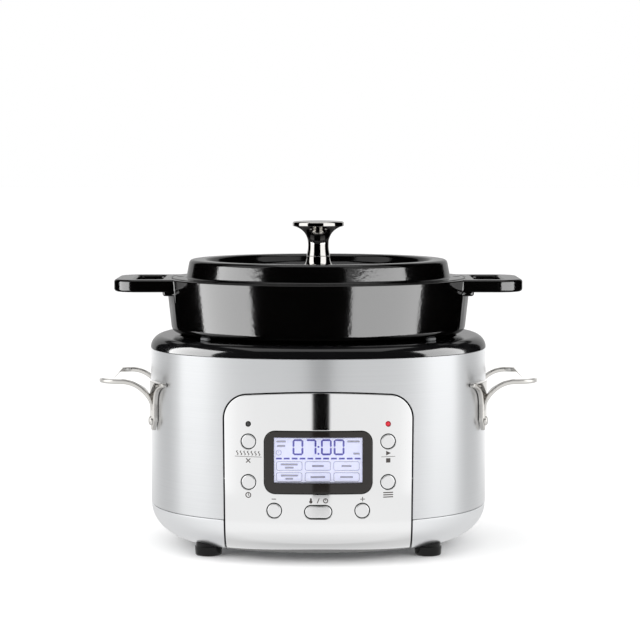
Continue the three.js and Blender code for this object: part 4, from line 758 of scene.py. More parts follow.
class Paintbox:
    """Builds each finish's material once and hands it out."""

    def __init__(self) -> None:
        """Builds the groups that the finishes share."""
        self.grain = grain_group()
        self.wander = wander_group()
        self.ripple = ripple_group()
        self.made: dict[str, bpy.types.Material] = {}

    def material(self, name: str) -> bpy.types.Material:
        """Returns the material of a finish by its name."""
        if name not in self.made:
            self.made[name] = self.build(name, FINISHES[name])
        return self.made[name]

    def build(self, name: str, finish: Finish) -> bpy.types.Material:
        """Builds a material.

        Args:
            name: Its name.
            finish: What it looks like.

        Returns:
            The material.
        """
        material, shader = blank_material(name)
        tree = Tree(material.node_tree)
        place = tree.node("ShaderNodeTexCoord").outputs["Object"]
        sockets = {"Vector": place, "Size": finish.patch, "Middle": finish.roughness, "Spread": finish.spread}
        wander = tree.node("ShaderNodeGroup", sockets, node_tree=self.wander).outputs
        sockets = {"Factor": wander["Mask"], "A": (*finish.color, 1.0), "B": (*finish.other, 1.0)}
        color = tree.node("ShaderNodeMix", sockets, data_type="RGBA").outputs["Result"]
        if finish.scratches is Tangent.ROUND:
            color = self.scratch(tree, finish, color, shader)
        for socket, value in {
            "Base Color": color,
            "Roughness": wander["Value"],
            "Metallic": finish.metallic,
            "Specular IOR Level": finish.specular,
            "Transmission Weight": finish.transmission,
            "Anisotropic": finish.anisotropic,
            "Anisotropic Rotation": QUARTER_TURN,
            "Emission Strength": finish.glow,
        }.items():
            tree.feed(shader.inputs[socket], value)
        if finish.glow > 0:
            tree.feed(shader.inputs["Emission Color"], color)
        if finish.ripple > 0:
            sockets = {"Vector": place, "Size": finish.ripple_size, "Height": finish.ripple}
            skin = tree.node("ShaderNodeGroup", sockets, node_tree=self.ripple)
            tree.feed(shader.inputs["Normal"], skin.outputs["Normal"])
        return material

    def scratch(
        self, tree: Tree, finish: Finish, color: bpy.types.NodeSocket, shader: bpy.types.Node
    ) -> bpy.types.NodeSocket:
        """Adds brushed scratches that run round the object to a material.

        Args:
            tree: The material's nodes.
            finish: Its finish.
            color: Its colour so far.
            shader: Its shader, whose tangent is set.

        Returns:
            The colour with the scratches in it.
        """
        tangent = tree.node("ShaderNodeTangent", direction_type="RADIAL", axis="Z")
        tree.feed(shader.inputs["Tangent"], tangent.outputs["Tangent"])
        place = tree.node("ShaderNodeUVMap", uv_map=WRAP).outputs["UV"]
        sockets = {"Vector": place, "Depth": finish.scratch_depth}
        grain = tree.node("ShaderNodeGroup", sockets, node_tree=self.grain)
        sockets = {0: color, "Scale": grain.outputs["Tone"]}
        return tree.node("ShaderNodeVectorMath", sockets, operation="SCALE").outputs[0]


FINISHES = {
    "brushed_wrap": Finish(
        "brushed_steel", (0.62, 0.63, 0.64), (0.67, 0.68, 0.69), 0.30, 0.03, 0.09, 1.0,
        scratches=Tangent.ROUND, scratch_depth=0.14, anisotropic=0.8,
    ),
    "mirror_steel": Finish(
        "polished_steel", (0.84, 0.845, 0.85), (0.87, 0.87, 0.87), 0.055, 0.02, 0.05, 1.0,
        ripple=0.01, ripple_size=0.05,
    ),
    # A darker copy of the polished steel: its lower colour is painted shade, for the dark lid that the knob
    # and its collar reflect.
    "shade_darkened_collar_steel": Finish(
        "polished_steel", (0.60, 0.585, 0.56), (0.66, 0.645, 0.62), 0.07, 0.02, 0.03, 1.0,
        ripple=0.01, ripple_size=0.03,
    ),
    # A darker, warmer copy of the polished steel: its lower colour is painted shade that deepens the
    # reflections in the handles and their bolts.
    "shade_darkened_handle_steel": Finish(
        "polished_steel", (0.63, 0.615, 0.59), (0.70, 0.685, 0.66), 0.09, 0.03, 0.02, 1.0,
        ripple=0.02, ripple_size=0.012,
    ),
    "satin_skirt": Finish("satin_silver", (0.80, 0.81, 0.825), (0.85, 0.86, 0.87), 0.30, 0.04, 0.06, 1.0),
    "gloss_rim": Finish(
        "gloss_black", (0.003, 0.003, 0.0033), (0.005, 0.005, 0.0055), 0.11, 0.03, 0.06,
        ripple=0.01, ripple_size=0.02,
    ),
    "black_enamel": Finish(
        "black_enamel", (0.0008, 0.0007, 0.0007), (0.0014, 0.0013, 0.0013), 0.10, 0.03, 0.03,
        ripple=0.055, ripple_size=0.003,
    ),
    "moulded_black": Finish(
        "matt_black", (0.02, 0.02, 0.021), (0.03, 0.03, 0.031), 0.42, 0.06, 0.01,
        ripple=0.1, ripple_size=0.0012,
    ),
    "foot_rubber": Finish(
        "black_rubber", (0.003, 0.003, 0.003), (0.005, 0.005, 0.005), 0.20, 0.06, 0.01,
        specular=0.2, ripple=0.04, ripple_size=0.003,
    ),
    "pad_silicone": Finish(
        "grey_silicone", (0.16, 0.165, 0.17), (0.20, 0.205, 0.21), 0.55, 0.05, 0.006,
        ripple=0.08, ripple_size=0.001,
    ),
    "cast_aluminium": Finish(
        "cast_aluminium", (0.50, 0.51, 0.53), (0.58, 0.59, 0.60), 0.42, 0.08, 0.01, 1.0,
        ripple=0.15, ripple_size=0.0015,
    ),
    "zinc_sheet": Finish("zinc_steel", (0.52, 0.53, 0.545), (0.62, 0.63, 0.64), 0.34, 0.07, 0.012, 1.0),
    "button_metal": Finish("button_silver", (0.80, 0.805, 0.81), (0.84, 0.84, 0.845), 0.12, 0.03, 0.01, 1.0),
    "smoked_bezel": Finish(
        "display_dark", (0.012, 0.010, 0.009), (0.016, 0.014, 0.012), 0.05, 0.02, 0.03,
        specular=0.45,
    ),
    "clear_window": Finish(
        "display_glass", (0.97, 0.98, 1.0), (1.0, 1.0, 1.0), 0.02, 0.01, 0.03,
        transmission=1.0,
    ),
    "lit_display": Finish(
        "display_lit", (0.69, 0.71, 0.93), (0.74, 0.755, 0.95), 0.45, 0.02, 0.03,
        glow=0.45,
    ),
    "display_ink": Finish(
        "display_lit", (0.045, 0.042, 0.36), (0.06, 0.055, 0.42), 0.5, 0.02, 0.01,
        glow=0.25,
    ),
    "display_faint": Finish(
        "display_lit", (0.30, 0.295, 0.38), (0.35, 0.345, 0.43), 0.5, 0.02, 0.01,
        glow=0.3,
    ),
    "display_line": Finish(
        "display_lit", (0.36, 0.355, 0.38), (0.42, 0.415, 0.44), 0.5, 0.02, 0.01,
        glow=0.22,
    ),
    "fascia_ink": Finish("display_dark", (0.045, 0.036, 0.033), (0.065, 0.055, 0.05), 0.5, 0.04, 0.002),
    "board_green": Finish("board_green", (0.02, 0.12, 0.045), (0.03, 0.16, 0.06), 0.4, 0.06, 0.008),
    "lamp_off": Finish("lamp_dark", (0.02, 0.02, 0.022), (0.03, 0.03, 0.03), 0.12, 0.02, 0.002),
    "lamp_on": Finish("lamp_red", (0.42, 0.006, 0.018), (0.60, 0.01, 0.03), 0.15, 0.02, 0.001, glow=0.3),
    "brass": Finish("brass", (0.60, 0.44, 0.16), (0.68, 0.52, 0.22), 0.25, 0.06, 0.004, 1.0),
}


# Workshop


def add_object(name: str, data: bpy.types.ID) -> bpy.types.Object:
    """Makes an object of a mesh, a light or a camera and puts it in the scene."""
    made = bpy.data.objects.new(name, data)
    bpy.context.scene.collection.objects.link(made)
    return made


def evaluated(name: str, holder: bpy.types.Object, smooth: float) -> bpy.types.Mesh:
    """Takes the plain mesh that an object's modifiers make.

    Args:
        name: The new mesh's name.
        holder: The object.
        smooth: The angle in degrees above which an edge stays sharp.

    Returns:
        The mesh.
    """
    mesh = bpy.data.meshes.new_from_object(holder.evaluated_get(bpy.context.evaluated_depsgraph_get()))
    mesh.name = name
    mesh.shade_smooth()
    mesh.set_sharp_from_angle(angle=math.radians(smooth))
    return mesh


@dataclass
class Workshop:
    """Makes objects of shapes, dresses them and hangs them on the frame."""

    paints: Paintbox = field(default_factory=Paintbox)
    count: int = 0

    def mesh(self, name: str, shape: Shape, smooth: float = 35.0) -> bpy.types.Mesh:
        """Makes a mesh in metres.

        Args:
            name: Its name.
            shape: Its shape, in millimetres.
            smooth: The angle in degrees above which an edge stays sharp.

        Returns:
            The mesh.
        """
        mesh = bpy.data.meshes.new(name)
        mesh.from_pydata((shape.points * MM).tolist(), [], shape.faces)
        if shape.wrap is not None:
            layer = mesh.uv_layers.new(name=WRAP)
            layer.data.foreach_set("uv", (shape.wrap * MM).ravel())
        mesh.shade_smooth()
        if shape.corners is not None:
            mesh.normals_split_custom_set(shape.corners.tolist())
        else:
            mesh.set_sharp_from_angle(angle=math.radians(smooth))
        return mesh

    def piece(
        self,
        name: str,
        body: str,
        finish: str,
        shape: Shape | bpy.types.Mesh,
        nodes: Sequence[str] = (),
        smooth: float = 35.0,
    ) -> bpy.types.Object:
        """Makes a finished piece.

        Args:
            name: Its name.
            body: The body that it rides on.
            finish: The name of its finish.
            shape: Its shape, or a mesh that is ready.
            nodes: The nodes of the frame that it stands for.
            smooth: The angle in degrees above which an edge stays sharp.

        Returns:
            The piece.
        """
        mesh = self.mesh(name, shape, smooth) if isinstance(shape, Shape) else shape
        mesh.materials.clear()
        mesh.materials.append(self.paints.material(finish))
        piece = add_object(name, mesh)
        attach(piece, body)
        if nodes:
            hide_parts(*nodes)
        self.count += 1
        LOG.info("%-24s rides on %-18s %6d faces", name, body, len(mesh.polygons))
        return piece

    def joined(
        self, name: str, base: Shape, tools: Sequence[tuple[str, Shape]], smooth: float
    ) -> bpy.types.Mesh:
        """Joins or cuts solids.

        Args:
            name: The mesh's name.
            base: The solid to start from.
            tools: UNION or DIFFERENCE, and the solid that it is done with, in order.
            smooth: The angle in degrees above which an edge stays sharp.

        Returns:
            A plain mesh.
        """
        made = [add_object(name, self.mesh(name, base))]
        for operation, tool in tools:
            made.append(add_object("tool", self.mesh("tool", tool)))
            step = made[0].modifiers.new(operation, "BOOLEAN")
            step.operation, step.object, step.solver = operation, made[-1], "MANIFOLD"
        mesh = evaluated(name, made[0], smooth)
        for each in made:
            bpy.data.objects.remove(each)
        return mesh

    def dress(self, finish: str, *nodes: str) -> None:
        """Gives nodes of the frame that stay in sight a finish.

        Args:
            finish: The name of the finish.
            nodes: The name of each node.
        """
        for node in nodes:
            piece = frame["nodes"][node]
            piece.data.materials.clear()
            piece.data.materials.append(self.paints.material(finish))
            LOG.info("%-24s dressed as %s", node, finish)


class GeometryTree(Tree):
    """A Geometry Nodes tree under construction."""

    def __init__(self, name: str, inputs: dict[str, object], kinds: dict[str, str] | None = None) -> None:
        """Makes the tree's sockets.

        Args:
            name: The tree's name.
            inputs: The value of each named input.
            kinds: The type of each input that isn't a number with decimals.
        """
        super().__init__(bpy.data.node_groups.new(name, "GeometryNodeTree"))
        self.socket("Geometry", "Geometry")
        self.values = {}
        for key, value in inputs.items():
            self.values[self.socket(key, (kinds or {}).get(key, "Float")).identifier] = value
        self.socket("Geometry", "Geometry", "OUTPUT")
        self.given = self.tree.nodes.new("NodeGroupInput").outputs
        self.made = self.tree.nodes.new("NodeGroupOutput").inputs

    def close(self, geometry: bpy.types.NodeSocket, material: bpy.types.Material) -> None:
        """Ends the tree in real geometry with its material."""
        real = self.node("GeometryNodeRealizeInstances", {"Geometry": geometry})
        painted = self.node("GeometryNodeSetMaterial", {"Geometry": real.outputs[0], "Material": material})
        self.feed(self.made[0], painted.outputs[0])

    def mesh(self, name: str, carrier: bpy.types.Mesh, smooth: float = 35.0) -> bpy.types.Mesh:
        """Runs the tree on a mesh.

        Args:
            name: The new mesh's name.
            carrier: The mesh that goes in, such as the points to place things on.
            smooth: The angle in degrees above which an edge stays sharp.

        Returns:
            A plain mesh.
        """
        holder = add_object(name, carrier)
        step = holder.modifiers.new(self.tree.name, "NODES")
        step.node_group = self.tree
        for identifier, value in self.values.items():
            step[identifier] = value
        mesh = evaluated(name, holder, smooth)
        bpy.data.objects.remove(holder)
        return mesh


def copies(
    workshop: Workshop,
    name: str,
    finish: str,
    template: Shape,
    places: Sequence[tuple[float, float, float, float]],
    nodes: Sequence[str] = (),
) -> None:
    """Makes a piece of the base from copies of a small part, placed with Geometry Nodes.

    Args:
        workshop: Makes the piece.
        name: Its name.
        finish: The name of its finish.
        template: The part, drawn about the origin.
        places: X, Y, Z and turn about Z of each copy.
        nodes: The nodes of the frame that it stands for.
    """
    part = add_object("template", workshop.mesh("template", template))
    carrier = bpy.data.meshes.new(name)
    carrier.from_pydata([[c * MM for c in place[:3]] for place in places], [], [])
    carrier.attributes.new("turn", "FLOAT", "POINT").data.foreach_set("value", [p[3] for p in places])
    tree = GeometryTree("placed_copies", {"Part": part, "Scale": 1.0}, {"Part": "Object"})
    turn = tree.node("GeometryNodeInputNamedAttribute", {"Name": "turn"}, data_type="FLOAT")
    about = tree.node("ShaderNodeCombineXYZ", {"Z": turn.outputs["Attribute"]})
    turned = tree.node("FunctionNodeEulerToRotation", {"Euler": about.outputs[0]})
    info = tree.node("GeometryNodeObjectInfo", {"Object": tree.given["Part"], "As Instance": True})
    sockets = {
        "Points": tree.given["Geometry"],
        "Instance": info.outputs["Geometry"],
        "Rotation": turned.outputs[0],
        "Scale": tree.given["Scale"],
    }
    placed = tree.node("GeometryNodeInstanceOnPoints", sockets)
    tree.close(placed.outputs[0], workshop.paints.material(finish))
    mesh = tree.mesh(name, carrier)
    bpy.data.objects.remove(part)
    workshop.piece(name, "base", finish, mesh, nodes)


def ring_by_rule(
    workshop: Workshop, name: str, finish: str, rows: Sequence[Triple], sizes: dict[str, float]
) -> bpy.types.Mesh:
    """Carries a closed profile round a rounded outline with Geometry Nodes.

    Args:
        workshop: Holds the materials.
        name: The mesh's name.
        finish: The name of its finish.
        rows: How far in each profile point lies, whether on the well (1) or the casing (0), and its height.
        sizes: Half Width, Half Depth, Power and Well Radius of the outline, and its Columns.

    Returns:
        A plain closed mesh.
    """
    carrier = bpy.data.meshes.new(name)
    carrier.from_pydata([(inset * MM, well, z * MM) for inset, well, z in rows], [], [])
    tree = GeometryTree("outline_by_rule", sizes, {"Columns": "Int"})
    given, maths = tree.given, tree.maths
    size = tree.node("GeometryNodeAttributeDomainSize", {"Geometry": given["Geometry"]})
    count = size.outputs["Point Count"]
    closed = maths("ADD", count, 1)
    grid = tree.node(
        "GeometryNodeMeshGrid", {"Vertices X": maths("ADD", given["Columns"], 1), "Vertices Y": closed}
    )
    index = tree.node("GeometryNodeInputIndex").outputs[0]
    row = maths("MODULO", maths("MODULO", index, closed), count)
    column = maths("FLOOR", maths("DIVIDE", maths("ADD", index, 0.5), closed))
    turn = maths("DIVIDE", maths("MULTIPLY", column, TAU), given["Columns"])
    place = tree.node("GeometryNodeInputPosition").outputs[0]
    sockets = {"Geometry": given["Geometry"], "Value": place, "Index": row}
    point = tree.node("GeometryNodeSampleIndex", sockets, data_type="FLOAT_VECTOR")
    inset, well, height = tree.node("ShaderNodeSeparateXYZ", {"Vector": point.outputs[0]}).outputs
    bend = maths("DIVIDE", 2.0, given["Power"])
    round_run = maths("SUBTRACT", given["Well Radius"], inset)
    sides = []
    for operation, half in (("COSINE", "Half Width"), ("SINE", "Half Depth")):
        part = maths(operation, turn)
        bent = maths("MULTIPLY", maths("SIGN", part), maths("POWER", maths("ABSOLUTE", part), bend))
        outer = maths("MULTIPLY", maths("SUBTRACT", given[half], inset), bent)
        inner = maths("MULTIPLY", round_run, part)
        sides.append(maths("ADD", outer, maths("MULTIPLY", well, maths("SUBTRACT", inner, outer))))
    spot = tree.node("ShaderNodeCombineXYZ", {"X": sides[0], "Y": sides[1], "Z": height}).outputs[0]
    shaped = tree.node("GeometryNodeSetPosition", {"Geometry": grid.outputs["Mesh"], "Position": spot})
    welded = tree.node("GeometryNodeMergeByDistance", {"Geometry": shaped.outputs[0], "Distance": 1e-6})
    tree.close(welded.outputs[0], workshop.paints.material(finish))
    return tree.mesh(name, carrier)


# Sub-assemblies

CORNERS = {"left_front": (-1, -1), "left_rear": (-1, 1), "right_front": (1, -1), "right_rear": (1, 1)}


def corner_nodes(stem: str) -> list[str]:
    """Names of the four nodes that stand at the corners of the base."""
    return [f"{stem}_{corner}" for corner in CORNERS]


@dataclass
class PoweredBase:
    """The casing of the base: its wrap, skirt, fascia, rim, feet and plate."""

    casing: Casing = field(default_factory=Casing)
    seam: float = 0.3
    wrap_wall: float = 1.2
    skirt_wall: float = 2.4
    skirt_end: float = -26.7
    fascia_half: float = 79.95
    fascia_taper: float = 1.0
    fascia_top: float = 147.6
    fascia_crown: float = 2.3
    fascia_corner: float = 21.0
    fascia_end: float = -22.0
    panel_seam: float = 1.1
    rim_height: float = 10.6
    well_radius: float = 124.0
    collar_depth: float = 14.0
    rim_wall: float = 2.2
    rim_lip: float = 2.0
    rim_columns: int = 192
    foot_place: Pair = (95.45, 82.0)
    foot_radius: float = 12.0
    pad_radius: float = 126.45
    pad_turn: float = 0.22 * math.pi
    fascia_wall: float = 2.4
    foot_top: float = 16.0
    foot_bore: float = 4.1
    foot_recess: float = 3.6
    foot_gap: float = 0.15
    pad_height: float = 2.2
    pad_size: Triple = (11, 5, 2.4)
    inlet_face: float = 144.5
    inlet_z: float = 64.0
    inlet_flange: float = 2.6
    inlet_mouth: Triple = (29.2, 21.2, 2.6)
    inlet_opening: Triple = (34.6, 26.6, 5.0)
    pin_radius: float = 2.0
    pin_reach: float = 6.0
    pin_drop: float = 6.6

    def arch(self, grow: float, low: float) -> np.ndarray:
        """Outline of the fascia in X and distance up the wall, or of its opening.

        Args:
            grow: How much larger than the fascia it is.
            low: Where its sides end below.

        Returns:
            The points from the lower right, over the top, to the lower left.
        """
        half, corner = self.fascia_half + grow, self.fascia_corner + grow
        foot = half - self.fascia_taper
        top = self.fascia_top - self.fascia_crown + grow
        side = [(foot + (half - foot) * k / 40, low + (top - corner - low) * k / 40) for k in range(40)]
        points = side + arc((half - corner, top - corner), corner, 0, 90, 24)
        crown = (0, top + 2 * self.fascia_crown)
        points += bezier((half - corner, top), crown, (corner - half, top), 48)[1:-1]
        points += arc((corner - half, top - corner), corner, 90, 180, 24)
        points += [(-x, z) for x, z in reversed(side)]
        return np.array(points)

    def build_wrap(self, workshop: Workshop) -> None:
        """Builds the brushed wall round the base."""
        surface, length = self.casing.around()
        low, high = self.casing.seam_z + self.seam, self.casing.rim_z
        arch = self.arch(self.panel_seam, 0.0)
        arch = arch[arch[:, 1] > low + 0.5]
        arch = np.concatenate([[[arch[0, 0], low]], arch, [[arch[-1, 0], low]]])[::-1]
        opening = np.column_stack([self.casing.walked_to(arch[:, 0], arch[:, 1]), arch[:, 1]])
        outline = np.concatenate([[[0.0, low]], opening, [[length, low], [length, high], [0.0, high]]])
        outline = fill_steps(outline, 3.0)
        inlet = rounded_rect(*self.inlet_opening, x=length / 4, z=self.inlet_z)
        wall = Panel(surface, outline, self.wrap_wall, [inlet], edge=0.5, spacing=4.5, period=length)
        workshop.piece("steel_wrap", "base", "brushed_wrap", wall.build(), ["outer_shell"])

    def build_skirt(self, workshop: Workshop) -> None:
        """Builds the satin skirt that curves under the base."""
        surface, length = self.casing.around()
        low, high = self.skirt_end, self.casing.seam_z
        arch = self.arch(self.panel_seam, low)
        arch = arch[arch[:, 1] < high - 0.5]
        half = len(arch) // 2
        right, left = arch[:half], arch[half:]
        left = np.concatenate([left[::-1], [[left[0, 0], high]]])
        right = np.concatenate([[[right[-1, 0], high]], right[::-1]])
        first, last = (np.column_stack([self.casing.walked_to(*s.T), s[:, 1]]) for s in (left, right))
        start = [[[0.0, low], [first[0, 0], low]], first, [[first[-1, 0], high], [0.0, high]]]
        end = [[[last[0, 0], high]], last, [[last[-1, 0], low], [length, low], [length, high]]]
        shapes = []
        for loop in (np.concatenate(start), np.concatenate(end)):
            keep = np.linalg.norm(loop - np.roll(loop, -1, axis=0), axis=1) > 1e-6
            loop = fill_steps(loop[keep], 3.0)
            shapes.append(Panel(surface, loop, self.skirt_wall, edge=0.5, spacing=4.5, period=length).build())
        workshop.piece("lower_cowl", "base", "satin_skirt", merge(shapes).welded(), ["lower_skirt"])

    def build_fascia(self, workshop: Workshop, holes: Sequence[np.ndarray]) -> None:
        """Builds the arched control fascia.

        Args:
            workshop: Makes the piece.
            holes: The outlines of the holes for the display, the buttons and the lamps.
        """
        outline = fill_steps(self.arch(0.0, self.fascia_end), 2.5)
        panel = Panel(self.casing.front(), outline, self.fascia_wall, holes, edge=0.8, spacing=3.0, steps=5)
        workshop.piece("arched_fascia", "base", "mirror_steel", panel.build(), ["control_fascia"])

    def build_rim(self, workshop: Workshop) -> None:
        """Builds the glossy rim, from the casing's outline to the round well."""
        low, top = self.casing.rim_z + self.seam, self.casing.rim_z + self.rim_height
        lip, wall = self.rim_lip, self.rim_wall
        rows = []
        for angle in np.radians(np.linspace(0, 90, 15)):
            rows.append((self.rim_height * (1 - math.cos(angle)), 0, low + (top - low) * math.sin(angle)))
        for angle in np.radians(np.linspace(0, 90, 7)):
            rows.append((lip * (math.sin(angle) - 1), 1, top - lip * (1 - math.cos(angle))))
        collar, shelf = top - self.collar_depth, top - wall - 1
        rows += [(0, 1, collar), (-wall, 1, collar), (-wall, 1, shelf)]
        rows += [(self.rim_height, 0, shelf), (wall, 0, low + wall), (wall, 0, low)]
        sizes = {
            "Half Width": self.casing.half_width * MM,
            "Half Depth": self.casing.half_depth * MM,
            "Power": self.casing.power,
            "Well Radius": self.well_radius * MM,
            "Columns": self.rim_columns,
        }
        mesh = ring_by_rule(workshop, "glossy_rim", "gloss_rim", rows, sizes)
        workshop.piece("glossy_rim", "base", "gloss_rim", mesh, ["top_rim"])

    def underside(self, x: float, y: float) -> float:
        """Height of the casing's outer face above a place on the table."""
        low, high = 0.0, self.casing.round_run
        for _ in range(30):
            inset = (low + high) / 2
            share_x = abs(x) / (self.casing.half_width - inset)
            share_y = abs(y) / (self.casing.half_depth - inset)
            if share_x**self.casing.power + share_y**self.casing.power < 1:
                low = inset
            else:
                high = inset
        share = 1 - low / self.casing.round_run
        return self.casing.seam_z - self.casing.round_drop * math.sqrt(1 - share * share)

    def build_feet(self, workshop: Workshop) -> None:
        """Builds the rubber feet, whose tops follow the skirt, and their screws."""
        radius, top, bore, recess = self.foot_radius, self.foot_top, self.foot_bore, self.foot_recess
        inner, (x, y) = radius - 1.1, self.foot_place
        profile = [(0, recess, 0), (bore, recess, 0.3), (bore, 0.0, 0.5), (radius - 0.6, 0.0, 1.6)]
        profile = filleted([*profile, (radius, 8.0, 0.4), (inner, 8.3, 0.4), (inner, top, 0.8)], 5)
        profile += [(inner * k / 8, top) for k in range(7, -1, -1)]
        feet = []
        for sx, sy in CORNERS.values():
            foot = lathe(profile, 64).moved(sx * x, sy * y)
            for point in foot.points:
                if point[2] > 6.0:
                    point[2] = min(point[2], self.underside(point[0], point[1]) - self.foot_gap)
            feet.append(foot)
        workshop.piece("rubber_feet", "base", "foot_rubber", merge(feet), corner_nodes("foot"))
        head = [(0, 2.2, 0), (1.0, 2.2, 0.1), (1.9, 1.3, 0.2), (3.8, 1.3, 0.4), (3.8, 3.7, 0), (1.8, 3.7, 0)]
        screw = lathe(filleted([*head, (1.8, 15.7, 0.4), (0, 15.7, 0)], 3), 24)
        places = [(sx * x, sy * y, 0.0, 0.0) for sx, sy in CORNERS.values()]
        copies(workshop, "foot_screws", "zinc_sheet", screw, places, corner_nodes("foot_screw"))

    def build_pads(self, workshop: Workshop) -> None:
        """Builds the soft pads that the pot's band rests on."""
        outline, height = rounded_rect(*self.pad_size, 8), self.pad_height
        pad = Panel(flat_plane(height), outline, height, edge=0.6, spacing=2.0).build()
        low = self.casing.rim_z + self.rim_height + self.seam
        places = []
        for sx, sy in CORNERS.values():
            x = sx * self.pad_radius * math.cos(self.pad_turn)
            y = sy * self.pad_radius * math.sin(self.pad_turn)
            places.append((x, y, low, math.atan2(y, x) + math.pi / 2))
        copies(workshop, "rim_pads", "pad_silicone", pad, places, corner_nodes("pot_pad"))

    def build_inlet(self, workshop: Workshop) -> None:
        """Builds the power inlet at the rear, with its pocket and its two pins."""
        z, mouth = self.inlet_z, [rounded_rect(*self.inlet_mouth, x=0, z=self.inlet_z)]
        pins = [circle(self.pin_radius, side * self.pin_reach, z - self.pin_drop, 24) for side in (-1, 1)]
        shapes = []
        for depth, outline, thickness, holes, edge, spacing in (
            (0.0, rounded_rect(42, 34, 5, x=0, z=z), self.inlet_flange, mouth, 0.8, 4),
            (2.0, rounded_rect(34, 26, 5, x=0, z=z), 17.8, mouth, 0.0, 4),
            (16, rounded_rect(30.5, 22.5, 2.6, x=0, z=z), 1.2, (), 0.0, 4),
            (5.2, pins[0], 11.5, (), 0.7, 1),
            (5.2, pins[1], 11.5, (), 0.7, 1),
        ):
            plane = rear_plane(self.inlet_face - depth)
            shapes.append(Panel(plane, outline, thickness, holes, edge=edge, spacing=spacing).build())
        workshop.piece("inlet_socket", "base", "moulded_black", merge(shapes), ["power_inlet"])

    def build(self, workshop: Workshop, holes: Sequence[np.ndarray]) -> None:
        """Builds the sub-assembly.

        Args:
            workshop: Makes the pieces.
            holes: The outlines of the holes in the fascia.
        """
        self.build_wrap(workshop)
        self.build_skirt(workshop)
        self.build_fascia(workshop, holes)
        self.build_rim(workshop)
        self.build_feet(workshop)
        self.build_pads(workshop)
        self.build_inlet(workshop)
        workshop.dress("zinc_sheet", "base_plate", "heat_shield")
        workshop.dress("board_green", "power_board")


